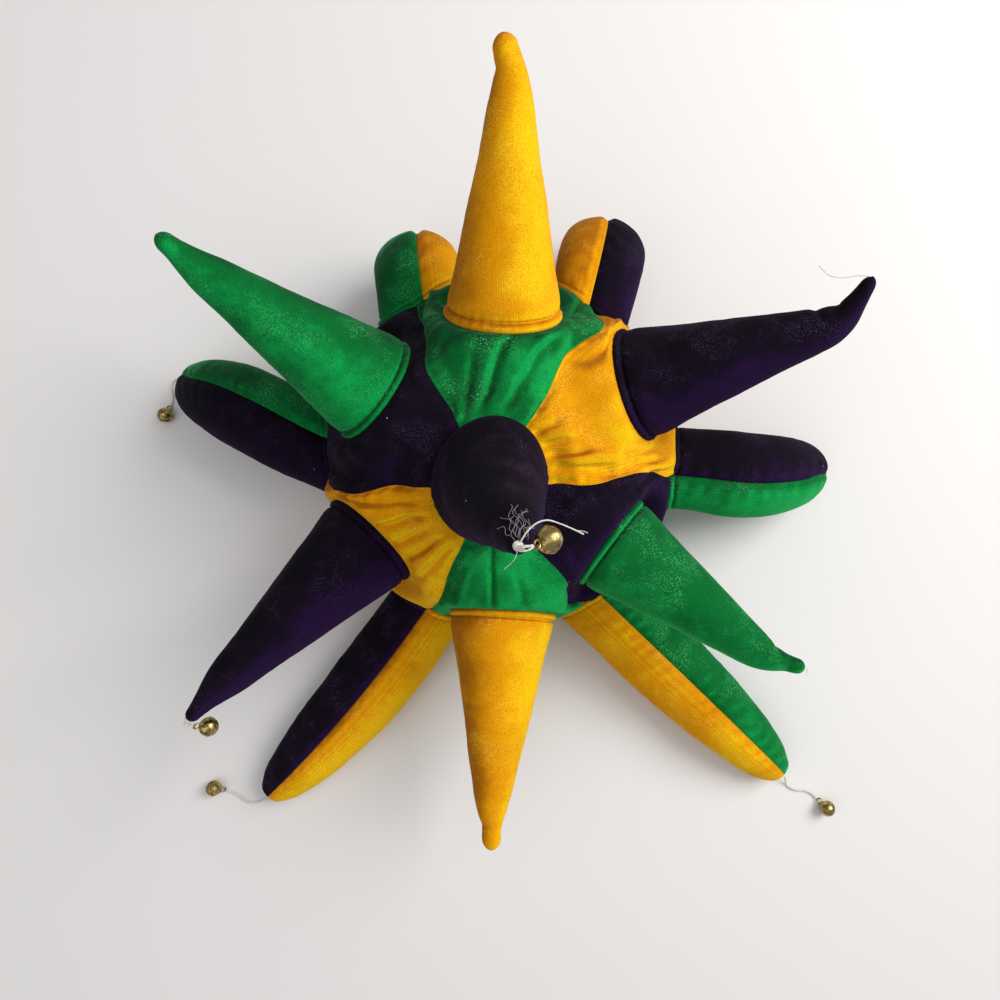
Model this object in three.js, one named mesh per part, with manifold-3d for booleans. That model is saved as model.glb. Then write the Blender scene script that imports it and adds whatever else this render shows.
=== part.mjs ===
// A jester hat of stuffed velvet in green, gold and purple, as it lies on a flat surface.
// Millimetres, +Z up, +Y towards the back of the hat. A place round the hat is a clock hour seen
// from above, with 12 at the back. The crown tips forward, because its two back points are folded
// under it and carry its back hem.
import * as THREE from 'three';
import { mergeVertices } from 'three/addons/utils/BufferGeometryUtils.js';
import Module from 'manifold-3d';

const wasm = await Module();
wasm.setup();

// Crown, in its own frame with the hem on z = 0
const crownRadius = 101;
const hemInset = 5; // how far the hem is drawn in from the widest ring
const hemRadius = crownRadius - hemInset;
const wideHeight = 22; // of the widest ring
const crownHeight = 112;
const crownRoundness = 1.95; // 2 is an ellipse, less is more pointed
const wall = 2.6;
const hemWall = 4.2; // the cloth is turned up and doubled here
const hemDepth = 9;
const topHole = 5; // radius, under the top horn
const panelPuff = 2.5;
const slump = { x: -6, y: -2 }; // of the very top
const crownTilt = 12; // degrees forward
const hemRest = 1.1; // the front hem above the surface
const foldFade = 0.25; // share of a fold's length over which each end fades out
const panelColumns = 9;
const panelRows = 9;

// Fits
const clearance = 0.3;
const seamGap = 0.3;

// Horns: foam cones with a rolled edge, sewn on flat places of the crown
const hornLength = 120;
const hornRadius = 28;
const hornRoll = 2.9; // how far the rolled edge stands proud
const seatDepth = 3; // how far the cone starts inside the seat, before it is cut to it
const seatFlat = 32.5; // radius of the flat place
const seatFade = 46; // radius where the crown is round again
const hornSides = 12;
const curlFrom = 0.78; // share of a horn's length where its tip begins to curl
const curlTo = 1.3; // where the curl would be full, which is past the tip

// Points: stuffed cones of two colours round the hem
const pointLength = 168;
const pointWidth = 50;
const pointThick = 38;
const pointRoll = 2.2;
const rootHeight = 25; // of a point's middle above the hem
const rootDepth = 14; // how far a point starts inside the crown, before it is cut to it
const pointSettle = 0.86; // how high a lying point's middle is, of half its thickness
const tipSettle = 0.45; // how high a point's tip comes to lie, of the rest of it
const pointSections = 8;
const halfSides = 8;

// Bells and threads
const bellRadius = 4.8;
const bellWall = 0.6;
const bellSlot = 1.3;
const ringRadius = 1.5;
const ringWire = 0.45;
const threadRadius = 0.6;
const threadRest = 0.8; // height of the middle of a thread that lies loose
const tieRadius = 1.2;
const tieBend = 2.2; // radius of the bend with which a tie leaves a horn's tip
const tieLength = 1.5; // how far a tie runs straight on from its bend to the bell
const tieBendPoints = 7;
const threadSides = 8;
const threadSteps = 13;
const tieSteps = 8;

const green = { color: 0x0b8f45, roughness: 0.85, metalness: 0 };
const gold = { color: 0xe59a08, roughness: 0.85, metalness: 0 };
const purple = { color: 0x24103c, roughness: 0.85, metalness: 0 };
const brass = { color: 0x8f7d40, roughness: 0.4, metalness: 1 };
const thread = { color: 0xe6e0d0, roughness: 0.95, metalness: 0 };

// Panels, one row each, clockwise: the hour of the seam where it starts
const panels = [
  { name: 'crown_panel_gold_back', seam: 1.07, cloth: gold },
  { name: 'crown_panel_purple_right', seam: 3.17, cloth: purple },
  { name: 'crown_panel_green_front', seam: 4.93, cloth: green },
  { name: 'crown_panel_gold_left', seam: 6.8, cloth: gold },
  { name: 'crown_panel_purple_left', seam: 8.87, cloth: purple },
  { name: 'crown_panel_green_back', seam: 11.03, cloth: green },
];

// Folds of the crown, a row each: hour and lift (degrees above the widest ring) of its two ends,
// width as a share of the horn's radius and height as a share of the puff
const folds = [
  { hour: 11.5, lift: 74, toHour: 12.35, toLift: 44, width: 0.22, height: 1.0 },
  { hour: 11.9, lift: 76, toHour: 12.8, toLift: 40, width: 0.22, height: 1.0 },
  { hour: 1.25, lift: 34, toHour: 1.45, toLift: 4, width: 0.2, height: 0.9 },
  { hour: 1.6, lift: 74, toHour: 1.95, toLift: 58, width: 0.24, height: 0.9 },
  { hour: 2.4, lift: 74, toHour: 2.75, toLift: 44, width: 0.24, height: 1.0 },
  { hour: 2.95, lift: 50, toHour: 2.95, toLift: 8, width: 0.22, height: 0.8 },
  { hour: 4.6, lift: 60, toHour: 5.0, toLift: 14, width: 0.24, height: 0.8 },
  { hour: 5.98, lift: 76, toHour: 5.98, toLift: 62, width: 0.2, height: -0.8 },
  { hour: 7.2, lift: 66, toHour: 7.5, toLift: 32, width: 0.24, height: 1.0 },
  { hour: 8.3, lift: 68, toHour: 8.75, toLift: 30, width: 0.24, height: 1.0 },
  { hour: 9.2, lift: 60, toHour: 9.1, toLift: 14, width: 0.22, height: 0.8 },
];

// Upper horns, a row each: the hour of its base, the base's radius and height as shares of the
// crown's, its heading (hour) and rise (degrees), its length and girth as shares of hornLength and
// hornRadius, and the curl of its tip sideways (clockwise) and upwards as shares of its length
const horns = [
  { name: 'horn_gold_back', cloth: gold, hour: 12, ring: 0.78, height: 0.63,
    heading: 12.05, rise: 19, length: 1.03, girth: 1, curlSide: -0.03, curlUp: 0.02 },
  { name: 'horn_purple_right', cloth: purple, hour: 1.93, ring: 0.82, height: 0.57,
    heading: 2.34, rise: 24, length: 0.99, girth: 1, curlSide: -0.1, curlUp: 0.03 },
  { name: 'horn_green_right', cloth: green, hour: 4.1, ring: 0.69, height: 0.68,
    heading: 4.13, rise: 18, length: 0.97, girth: 0.92, curlSide: -0.065, curlUp: -0.02 },
  { name: 'horn_gold_front', cloth: gold, hour: 5.96, ring: 0.81, height: 0.6,
    heading: 6.09, rise: 22, length: 1.01, girth: 0.99, curlSide: -0.012, curlUp: 0.01 },
  { name: 'horn_purple_left', cloth: purple, hour: 8.01, ring: 0.8, height: 0.62,
    heading: 7.57, rise: 27, length: 1.06, girth: 0.98, curlSide: -0.015, curlUp: -0.03 },
  { name: 'horn_green_left', cloth: green, hour: 10.06, ring: 0.76, height: 0.66,
    heading: 10.23, rise: 22, length: 0.99, girth: 0.98, curlSide: 0.02, curlUp: 0.02 },
  { name: 'top_horn_purple', cloth: purple, hour: 8.4, ring: 0.055, height: 0.965,
    heading: 3.0, rise: 84, length: 0.98, girth: 1, curlSide: 0.01, curlUp: 0.01 },
];

// The rolled edge above a horn's seat: where and how far it stands proud, as shares of hornRoll
const hornRollRows = [
  { along: 0.9, proud: 1 },
  { along: 1.6, proud: 0.7 },
  { along: 2.1, proud: 0 },
];

// A horn along its length: where (share of the length from the seat) and how wide (share of
// hornRadius), above the rolled edge
const hornProfile = [
  { along: 0.075, wide: 1 },
  { along: 0.22, wide: 0.87 },
  { along: 0.36, wide: 0.745 },
  { along: 0.52, wide: 0.6 },
  { along: 0.68, wide: 0.46 },
  { along: 0.81, wide: 0.345 },
  { along: 0.89, wide: 0.25 },
  { along: 0.945, wide: 0.175 },
  { along: 0.985, wide: 0.135 },
  { along: 1, wide: 0.06 },
];

// The rolled edge of a point outside the crown: where and how far it stands proud, as shares of
// pointRoll
const pointRollRows = [
  { along: 0, proud: 1 },
  { along: 2, proud: 1 },
  { along: 3.4, proud: 0 },
];

// How a point lies, a row for each place on its way from the root: how far out and sideways
// (clockwise) it is, as shares of its length, and how far down it has come to lie on the surface,
// from 0 at the root's height to 1 lying
const lyingPath = [
  { out: 0, side: 0, down: 0 },
  { out: 0.12, side: 0, down: 0.25 },
  { out: 0.3, side: 0, down: 0.85 },
  { out: 0.5, side: 0, down: 1 },
  { out: 0.75, side: 0, down: 1 },
  { out: 1, side: 0, down: 1 },
];
const archedPath = [
  { out: 0, side: 0, down: 0 },
  { out: 0.2, side: 0, down: -0.16 },
  { out: 0.4, side: 0.01, down: -0.14 },
  { out: 0.57, side: 0.01, down: 0.16 },
  { out: 0.7, side: 0, down: 0.64 },
  { out: 0.81, side: 0, down: 1 },
];
const foldedPath = [
  { out: 0, side: 0, down: 0 },
  { out: 0.19, side: 0, down: 0.04 },
  { out: 0.32, side: 0, down: 0.24 },
  { out: 0.37, side: 0, down: 0.55 },
  { out: 0.32, side: 0, down: 0.86 },
  { out: 0.19, side: 0, down: 0.98 },
  { out: 0.02, side: 0, down: 1 },
];

// Points, a row each: the hour of its root, its heading (hour), its way, its length as a share of
// pointLength, its bend sideways at the middle as a share of its length, and the cloth on its two
// sides, before and after its seam on the clock
const points = [
  { name: 'point_back_right', hour: 1.08, heading: 0.45, path: foldedPath, length: 0.9, bend: 0,
    before: { colour: 'gold', cloth: gold }, after: { colour: 'purple', cloth: purple } },
  { name: 'point_right', hour: 3.1, heading: 2.97, path: archedPath, length: 0.84, bend: 0.03,
    before: { colour: 'purple', cloth: purple }, after: { colour: 'green', cloth: green } },
  { name: 'point_front_right', hour: 4.92, heading: 4.43, path: lyingPath, length: 1.1, bend: 0,
    before: { colour: 'green', cloth: green }, after: { colour: 'gold', cloth: gold } },
  { name: 'point_front_left', hour: 6.78, heading: 7.3, path: lyingPath, length: 1.05, bend: -0.025,
    before: { colour: 'gold', cloth: gold }, after: { colour: 'purple', cloth: purple } },
  { name: 'point_left', hour: 8.92, heading: 9.8, path: archedPath, length: 0.92, bend: 0,
    before: { colour: 'purple', cloth: purple }, after: { colour: 'green', cloth: green } },
  { name: 'point_back_left', hour: 10.95, heading: 11.7, path: foldedPath, length: 0.71, bend: 0,
    before: { colour: 'green', cloth: green }, after: { colour: 'gold', cloth: gold } },
];

// A point along its length above its rolled root: where (share of its length), how wide (share of
// pointWidth) and how thick (share of pointThick)
const pointProfile = [
  { along: 0, wide: 0.96, thick: 1 },
  { along: 0.3, wide: 1, thick: 1 },
  { along: 0.5, wide: 0.95, thick: 0.96 },
  { along: 0.68, wide: 0.83, thick: 0.85 },
  { along: 0.82, wide: 0.68, thick: 0.7 },
  { along: 0.92, wide: 0.51, thick: 0.54 },
  { along: 0.975, wide: 0.33, thick: 0.38 },
  { along: 1, wide: 0.13, thick: 0.18 },
];

// Bells tied short to a horn's tip, a row each: the horn, and the way that the tie turns
const tiedBells = [
  { name: 'top', horn: 'top_horn_purple', way: new THREE.Vector3(0.7, 0.1, -0.75) },
  { name: 'left', horn: 'horn_purple_left', way: new THREE.Vector3(0.72, -0.35, -0.6) },
];

// Threads of the bells that lie loose, a row each: the point that it leaves, and the places of
// its way from there, forwards and sideways (clockwise) in millimetres, and its height from 0 on
// the surface to 1 at the point's tip
const looseThreads = [
  { name: 'right', point: 'point_front_right',
    way: [[0, 0, 1], [2.5, 0.3, 0.9], [6, 1.6, 0.35], [9.5, 3, 0], [13.5, 2.6, 0], [17.5, 0.5, 0],
      [21, -2.5, 0], [25, -4, 0], [29.5, -4, 0]] },
  { name: 'left', point: 'point_front_left',
    way: [[0, 0, 1], [2.5, 0, 0.9], [6.5, 0.8, 0.35], [10.5, 2.4, 0], [13.5, 5.4, 0], [15, 9.5, 0],
      [15, 14, 0], [16, 18.5, 0], [17.5, 23, 0]] },
  { name: 'side', point: 'point_left',
    way: [[0, 0, 1], [2.5, 0, 0.85], [6, 1, 0.3], [9.5, 0.8, 0], [12.3, -1.8, 0], [12.6, -6.2, 0],
      [10.5, -10, 0], [8.2, -13.7, 0], [7.5, -18, 0]] },
];

const radians = THREE.MathUtils.degToRad;

function outward(hour) {
  const angle = radians(90 - 30 * hour);
  return new THREE.Vector3(Math.cos(angle), Math.sin(angle), 0);
}

function smooth(value, from, to) {
  const t = THREE.MathUtils.clamp((value - from) / (to - from), 0, 1);
  return t * t * (3 - 2 * t);
}

// A value between the rows of a table, by its column along
function readTable(rows, column, along) {
  let i = 1;
  while (i < rows.length - 1 && rows[i].along < along) i += 1;
  const [a, b] = [rows[i - 1], rows[i]];
  const t = THREE.MathUtils.clamp((along - a.along) / (b.along - a.along), 0, 1);
  return a[column] + (b[column] - a[column]) * t;
}

// A closed mesh over rings of points, with its two ends closed to their middles. Rings that turn
// clockwise about the way they run are flipped, so that faces point outwards.
function loft(rings, flip = false) {
  const count = rings[0].length;
  const vertices = rings.flat();
  const faces = [];
  for (let i = 0; i < rings.length - 1; i += 1) {
    for (let j = 0; j < count; j += 1) {
      const k = (j + 1) % count;
      const [a, b, c, d] = [i * count + j, i * count + k, (i + 1) * count + j, (i + 1) * count + k];
      faces.push([a, b, d], [a, d, c]);
    }
  }
  for (const [i, turn] of [[0, true], [rings.length - 1, false]]) {
    const middle = new THREE.Vector3();
    rings[i].forEach((p) => middle.addScaledVector(p, 1 / count));
    vertices.push(middle);
    for (let j = 0; j < count; j += 1) {
      const [a, b, m] = [i * count + j, i * count + ((j + 1) % count), vertices.length - 1];
      faces.push(turn ? [b, a, m] : [a, b, m]);
    }
  }
  return meshGeometry(vertices, flip ? faces.map(([a, b, c]) => [a, c, b]) : faces);
}

function meshGeometry(vertices, faces) {
  const geometry = new THREE.BufferGeometry();
  const numbers = vertices.flatMap((p) => [p.x, p.y, p.z]);
  geometry.setAttribute('position', new THREE.Float32BufferAttribute(numbers, 3));
  geometry.setIndex(faces.flat());
  return geometry;
}

function toSolid(geometry) {
  const bare = geometry.clone();
  bare.deleteAttribute('normal');
  bare.deleteAttribute('uv');
  const merged = mergeVertices(bare, 1e-4);
  return new wasm.Manifold(new wasm.Mesh({
    numProp: 3,
    vertProperties: new Float32Array(merged.attributes.position.array),
    triVerts: new Uint32Array(merged.index.array),
  }));
}

function toGeometry(solid) {
  const mesh = solid.getMesh();
  const geometry = new THREE.BufferGeometry();
  geometry.setAttribute('position', new THREE.BufferAttribute(new Float32Array(mesh.vertProperties), 3));
  geometry.setIndex(new THREE.BufferAttribute(new Uint32Array(mesh.triVerts), 1));
  return geometry;
}

function named(name, geometry, finish) {
  geometry.computeVertexNormals();
  const mesh = new THREE.Mesh(geometry, new THREE.MeshStandardMaterial(finish));
  mesh.name = name;
  return mesh;
}

// Where a horn stands and which way it runs
function hornFrame(horn) {
  const base = outward(horn.hour).multiplyScalar(horn.ring * crownRadius);
  base.z = horn.height * crownHeight;
  const rise = radians(horn.rise);
  const axis = outward(horn.heading).multiplyScalar(Math.cos(rise)).setZ(Math.sin(rise));
  const side = outward(horn.heading + 3);
  return { base, axis, side, up: new THREE.Vector3().crossVectors(side, axis) };
}

const hornSeats = horns.map(hornFrame);

// The bare dome: how far its surface is from the middle of the widest ring, at a lift in radians
function domeReach(lift) {
  const skirtDepth = wideHeight / (1 - (hemRadius / crownRadius) ** crownRoundness) ** (1 / crownRoundness);
  const depth = lift < 0 ? skirtDepth : crownHeight - wideHeight;
  const flat = Math.abs(Math.cos(lift) / crownRadius) ** crownRoundness;
  const steep = Math.abs(Math.sin(lift) / depth) ** crownRoundness;
  return (flat + steep) ** (-1 / crownRoundness);
}

// How many hours one place lies after another, from -6 to 6
function nearHour(hour, from) {
  return ((hour - from + 30) % 12) - 6;
}

// The height of all folds at a place of the crown: each is a ridge along a straight line between
// its two ends, fading out towards them
function foldHeight(hour, lift) {
  const reach = domeReach(lift);
  const perHour = radians(30) * reach * Math.cos(lift);
  const perDegree = radians(1) * reach;
  let height = 0;
  for (const fold of folds) {
    const x = nearHour(hour, fold.hour) * perHour;
    const y = (THREE.MathUtils.radToDeg(lift) - fold.lift) * perDegree;
    const dx = (fold.toHour - fold.hour) * perHour;
    const dy = (fold.toLift - fold.lift) * perDegree;
    const t = THREE.MathUtils.clamp((x * dx + y * dy) / (dx * dx + dy * dy), 0, 1);
    const away = Math.hypot(x - t * dx, y - t * dy) / (fold.width * hornRadius);
    const fade = smooth(t, 0, foldFade) * smooth(1 - t, 0, foldFade);
    height += fold.height * panelPuff * Math.exp(-away * away) * fade;
  }
  return height;
}

// How far a panel bulges between its two seams
function puff(hour) {
  const turned = panels.map((panel) => (hour - panel.seam + 24) % 12);
  const i = turned.indexOf(Math.min(...turned));
  const span = (panels[(i + 1) % panels.length].seam - panels[i].seam + 12) % 12;
  const across = (2 * turned[i]) / span - 1;
  return panelPuff * (1 - across * across);
}

// The crown's outer surface, pulled flat under each horn
function crownPoint(hour, lift) {
  const reach = domeReach(lift) + puff(hour) * Math.cos(lift) + foldHeight(hour, lift);
  const p = outward(hour).multiplyScalar(reach * Math.cos(lift));
  p.z = wideHeight + reach * Math.sin(lift);
  const sag = Math.max(0, (p.z - wideHeight) / (crownHeight - wideHeight)) ** 2;
  p.x += slump.x * sag;
  p.y += slump.y * sag;
  for (const seat of hornSeats) {
    const from = p.clone().sub(seat.base);
    const above = from.dot(seat.axis);
    const away = Math.sqrt(Math.max(0, from.lengthSq() - above * above));
    const near = above > -crownHeight / 2 ? 1 - smooth(away, seatFlat, seatFade) : 0;
    p.addScaledVector(seat.axis, -above * near);
  }
  return p;
}

// Which way the crown's surface faces
function crownNormal(hour, lift) {
  const [liftStep, hourStep] = [radians(0.5), 0.02];
  const acrossLift = crownPoint(hour, lift + liftStep).sub(crownPoint(hour, lift - liftStep));
  const acrossHour = crownPoint(hour + hourStep, lift).sub(crownPoint(hour - hourStep, lift));
  return new THREE.Vector3().crossVectors(acrossLift, acrossHour).normalize();
}

const hemLift = Math.atan2(-wideHeight, hemRadius);
const topLift = Math.atan2(crownHeight - wideHeight, topHole);

// The lifts of a panel's rows: the turned hem first, then even steps to the top
const rowLifts = [hemLift];
for (let i = 0; i <= panelRows; i += 1) {
  const start = hemLift + hemDepth / crownRadius;
  rowLifts.push(start + ((topLift - start) * i) / panelRows);
}

// One row of a panel at one lift, moved out by an offset, or in by a negative one. Its two ends
// are held off their seams by half the gap and move as the seam itself does, so that neighbours
// stay parallel there.
function panelRow(index, lift, gap, offset) {
  const start = panels[index].seam;
  const span = (panels[(index + 1) % panels.length].seam - start + 12) % 12;
  const inset = gap / 2 / (domeReach(lift) * Math.cos(lift)) / radians(30);
  return Array.from({ length: panelColumns + 1 }, (_, i) => {
    const share = i / panelColumns;
    const hour = start + inset + (span - 2 * inset) * share;
    const end = i === 0 || i === panelColumns;
    const normal = crownNormal(end ? start + span * share : hour, lift);
    return crownPoint(hour, lift).addScaledVector(normal, offset);
  });
}

function panelGeometry(index) {
  const vertices = [];
  const faces = [];
  const width = panelColumns + 1;
  const layer = width * rowLifts.length;
  for (const inner of [0, 1]) {
    rowLifts.forEach((lift, row) => {
      const thick = row < 2 ? hemWall : wall;
      vertices.push(...panelRow(index, lift, seamGap, -inner * thick));
    });
  }
  const at = (inner, row, column) => inner * layer + row * width + column;
  for (let row = 0; row < rowLifts.length - 1; row += 1) {
    for (let column = 0; column < panelColumns; column += 1) {
      const corners = [[row, column], [row, column + 1], [row + 1, column + 1], [row + 1, column]];
      const outer = corners.map(([r, c]) => at(0, r, c));
      const inside = outer.map((v) => v + layer);
      faces.push([outer[0], outer[2], outer[1]], [outer[0], outer[3], outer[2]]);
      faces.push([inside[0], inside[1], inside[2]], [inside[0], inside[2], inside[3]]);
    }
  }
  // Both sides of a seam are cut along the same diagonals, so that they match
  const edge = (a, b) => faces.push([a, b, b + layer], [a, b + layer, a + layer]);
  const facingEdge = (a, b) => faces.push([a, b, a + layer], [b, b + layer, a + layer]);
  for (let column = 0; column < panelColumns; column += 1) {
    edge(at(0, 0, column), at(0, 0, column + 1));
    edge(at(0, rowLifts.length - 1, column + 1), at(0, rowLifts.length - 1, column));
  }
  for (let row = 0; row < rowLifts.length - 1; row += 1) {
    edge(at(0, row + 1, 0), at(0, row, 0));
    facingEdge(at(0, row, panelColumns), at(0, row + 1, panelColumns));
  }
  return meshGeometry(vertices, faces);
}

// The whole crown as a filled body, one clearance larger than the panels
function filledCrown() {
  const rings = rowLifts.map((lift) => panels.flatMap((_, index) => (
    panelRow(index, lift, 0, clearance).slice(0, panelColumns)
  )));
  return loft(rings, true);
}

// A horn's middle line, with its tip curled
function hornPoint(horn, frame, along) {
  const length = horn.length * hornLength;
  const curl = smooth(along, curlFrom, curlTo) / smooth(1, curlFrom, curlTo);
  return frame.base.clone()
    .addScaledVector(frame.axis, along * length)
    .addScaledVector(frame.side, curl * horn.curlSide * length)
    .addScaledVector(frame.up, curl * horn.curlUp * length);
}

// A ring of points about a middle line, square to the way it runs
function roundSection(middle, ahead, side, radius, count) {
  const up = new THREE.Vector3().crossVectors(side, ahead).normalize();
  const across = new THREE.Vector3().crossVectors(up, ahead).normalize();
  return Array.from({ length: count }, (_, i) => {
    const angle = (2 * Math.PI * i) / count;
    return middle.clone()
      .addScaledVector(across, Math.cos(angle) * radius)
      .addScaledVector(up, Math.sin(angle) * radius);
  });
}

function hornGeometry(horn, frame) {
  const length = horn.length * hornLength;
  const girth = horn.girth * hornRadius;
  const seat = { along: -seatDepth / length, radius: girth + hornRoll };
  const roll = hornRollRows.map((row) => (
    { along: (row.along * hornRoll) / length, radius: girth + row.proud * hornRoll }
  ));
  const body = hornProfile.map((row) => ({ along: row.along, radius: row.wide * girth }));
  const rings = [seat, ...roll, ...body].map(({ along, radius }) => {
    const [before, after] = [along - 0.01, along + 0.01].map((at) => hornPoint(horn, frame, at));
    const ahead = after.sub(before).normalize();
    return roundSection(hornPoint(horn, frame, along), ahead, frame.side, radius, hornSides);
  });
  return loft(rings);
}

// From the crown's frame to the surface's
const crownLift = hemRadius * Math.sin(radians(crownTilt)) + hemRest;
const tipForward = new THREE.Matrix4().makeRotationX(radians(crownTilt)).setPosition(0, 0, crownLift);

// The line that a point's middle follows over the surface
function pointCurve(point) {
  const root = outward(point.hour).multiplyScalar(crownRadius - rootDepth).setZ(rootHeight);
  root.applyMatrix4(tipForward);
  const ahead = outward(point.heading);
  const side = outward(point.heading + 3);
  const length = point.length * pointLength;
  const lowest = point.path[point.path.length - 1];
  return new THREE.CatmullRomCurve3(point.path.map((row) => {
    const bow = point.bend * Math.sin((Math.PI * row.out) / lowest.out);
    const lying = (pointThick / 2) * pointSettle;
    const end = row === lowest ? tipSettle : 1;
    return root.clone()
      .addScaledVector(ahead, row.out * length)
      .addScaledVector(side, (row.side + bow) * length)
      .setZ(root.z + (lying * end - root.z) * row.down);
  }));
}

// One half of a point: sections of half an oval, flat against the seam and on the surface
function halfPointGeometry(point, sign) {
  const curve = pointCurve(point);
  const total = curve.getLength();
  const roll = pointRollRows.map((row) => (
    { along: (rootDepth + row.along * pointRoll) / total, grow: row.proud * pointRoll }
  ));
  const start = roll[roll.length - 1].along;
  const stations = [{ along: 0, grow: 0 }, ...roll];
  for (let i = 1; i <= pointSections; i += 1) {
    const share = Math.sin(((i / pointSections) * Math.PI) / 2);
    stations.push({ along: start + (1 - start) * share, grow: 0 });
  }
  const rings = stations.map(({ along, grow }) => {
    const middle = curve.getPointAt(along);
    const ahead = curve.getTangentAt(along);
    const side = new THREE.Vector3(ahead.y, -ahead.x, 0).normalize();
    if (ahead.dot(outward(point.heading)) < 0) side.negate();
    const up = new THREE.Vector3().crossVectors(side, ahead).normalize();
    const share = Math.max(0, (along - start) / (1 - start));
    const wide = (readTable(pointProfile, 'wide', share) * pointWidth) / 2 + grow;
    const thick = (readTable(pointProfile, 'thick', share) * pointThick) / 2 + grow;
    return Array.from({ length: halfSides + 1 }, (_, i) => {
      const angle = Math.PI * (0.5 - i / halfSides);
      const p = middle.clone()
        .addScaledVector(side, sign * (seamGap / 2 + Math.cos(angle) * wide))
        .addScaledVector(up, Math.sin(angle) * thick);
      p.z = Math.max(0, p.z);
      return p;
    });
  });
  return loft(rings, sign < 0);
}

// A jingle bell with a slot below and a wire ring on top, its middle at the origin
function bellSolid() {
  const shell = toSolid(new THREE.SphereGeometry(bellRadius, 10, 6).rotateX(Math.PI / 2));
  const hollow = toSolid(new THREE.SphereGeometry(bellRadius - bellWall, 6, 4).rotateX(Math.PI / 2));
  const cutter = new THREE.BoxGeometry(3 * bellRadius, bellSlot, bellRadius);
  const slot = toSolid(cutter.translate(0, 0, -bellRadius));
  const ring = new THREE.TorusGeometry(ringRadius, ringWire, 4, 8).rotateX(Math.PI / 2);
  ring.translate(0, 0, bellRadius + ringRadius - ringWire / 2);
  return shell.subtract(hollow).subtract(slot).add(toSolid(ring));
}

const bell = toGeometry(bellSolid());
const bellReach = bellRadius + 2 * ringRadius + ringWire / 2; // from its middle to its ring's edge

// A bell with its ring's outer edge at a place and its middle the way that a direction gives
function bellAt(name, top, direction) {
  const mesh = named(name, bell.clone(), brass);
  const back = direction.clone().normalize().negate();
  const level = new THREE.Vector3(-back.y, back.x, 0).normalize();
  mesh.quaternion.setFromRotationMatrix(
    new THREE.Matrix4().makeBasis(level, new THREE.Vector3().crossVectors(back, level), back),
  );
  mesh.position.copy(top).addScaledVector(back, -bellReach);
  return mesh;
}

function tubeGeometry(route, radius, sides, steps) {
  const section = new THREE.Shape(Array.from({ length: sides }, (_, i) => {
    const angle = (2 * Math.PI * i) / sides;
    return new THREE.Vector2(Math.cos(angle), Math.sin(angle)).multiplyScalar(radius);
  }));
  return new THREE.ExtrudeGeometry(section, { steps, extrudePath: route, bevelEnabled: false });
}

// The middle line of a tie: a round bend from its horn's tip to its own way, and a straight end
function tieRoute(tip, ahead, way) {
  const start = tip.clone().addScaledVector(ahead, clearance);
  const aside = way.clone().addScaledVector(ahead, -ahead.dot(way)).normalize();
  const bend = Array.from({ length: tieBendPoints }, (_, i) => {
    const angle = (ahead.angleTo(way) * i) / (tieBendPoints - 1);
    return start.clone()
      .addScaledVector(ahead, tieBend * Math.sin(angle))
      .addScaledVector(aside, tieBend * (1 - Math.cos(angle)));
  });
  const end = bend[tieBendPoints - 1].clone().addScaledVector(way, tieLength);
  return new THREE.CatmullRomCurve3([...bend, end]);
}

const crown = new THREE.Group();
crown.rotation.x = radians(crownTilt);
crown.position.z = crownLift;

panels.forEach((panel, index) => crown.add(named(panel.name, panelGeometry(index), panel.cloth)));

const crownShape = filledCrown();
const crownBody = toSolid(crownShape);
horns.forEach((horn, i) => {
  const cut = toSolid(hornGeometry(horn, hornSeats[i])).subtract(crownBody);
  crown.add(named(horn.name, toGeometry(cut), horn.cloth));
});

for (const tied of tiedBells) {
  const horn = horns.find((row) => row.name === tied.horn);
  const frame = hornFrame(horn);
  const tip = hornPoint(horn, frame, 1);
  const ahead = tip.clone().sub(hornPoint(horn, frame, 0.99)).normalize();
  const way = tied.way.clone().normalize();
  const route = tieRoute(tip, ahead, way);
  crown.add(named(`bell_tie_${tied.name}`, tubeGeometry(route, tieRadius, threadSides, tieSteps), thread));
  crown.add(bellAt(`bell_${tied.name}`, route.getPoint(1).addScaledVector(way, clearance), way));
}

const lower = new THREE.Group();
const crownOnSurface = toSolid(crownShape.clone().applyMatrix4(tipForward));
for (const point of points) {
  for (const [half, sign] of [[point.before, -1], [point.after, 1]]) {
    const cut = toSolid(halfPointGeometry(point, sign)).subtract(crownOnSurface);
    lower.add(named(`${point.name}_${half.colour}`, toGeometry(cut), half.cloth));
  }
}

const looseEnds = new THREE.Group();
for (const loose of looseThreads) {
  const point = points.find((row) => row.name === loose.point);
  const curve = pointCurve(point);
  const tip = curve.getPointAt(1).addScaledVector(curve.getTangentAt(1), clearance + threadRadius);
  const [ahead, side] = [outward(point.heading), outward(point.heading + 3)];
  const route = new THREE.CatmullRomCurve3(loose.way.map(([forwards, sideways, height]) => (
    tip.clone().addScaledVector(ahead, forwards).addScaledVector(side, sideways)
      .setZ(threadRest + (tip.z - threadRest) * height)
  )));
  const end = route.getPointAt(1);
  const rise = Math.asin((bellRadius - threadRest) / bellReach);
  const flat = route.getTangentAt(1).setZ(0).normalize();
  const towards = flat.multiplyScalar(Math.cos(rise)).setZ(Math.sin(rise));
  const tube = tubeGeometry(route, threadRadius, threadSides, threadSteps);
  looseEnds.add(named(`bell_thread_${loose.name}`, tube, thread));
  looseEnds.add(bellAt(`bell_loose_${loose.name}`, end.addScaledVector(towards, clearance), towards));
}

// The middle of the hat's footprint, without its loose ends, goes to the origin
const hat = new THREE.Group();
hat.add(crown, lower);
hat.updateMatrixWorld(true);
const middle = new THREE.Box3().setFromObject(hat, true).getCenter(new THREE.Vector3());
hat.add(looseEnds);
hat.position.set(-middle.x, -middle.y, 0);

export default hat;
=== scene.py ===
import itertools
import math

import bpy
import numpy as np
from mathutils import Matrix


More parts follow.
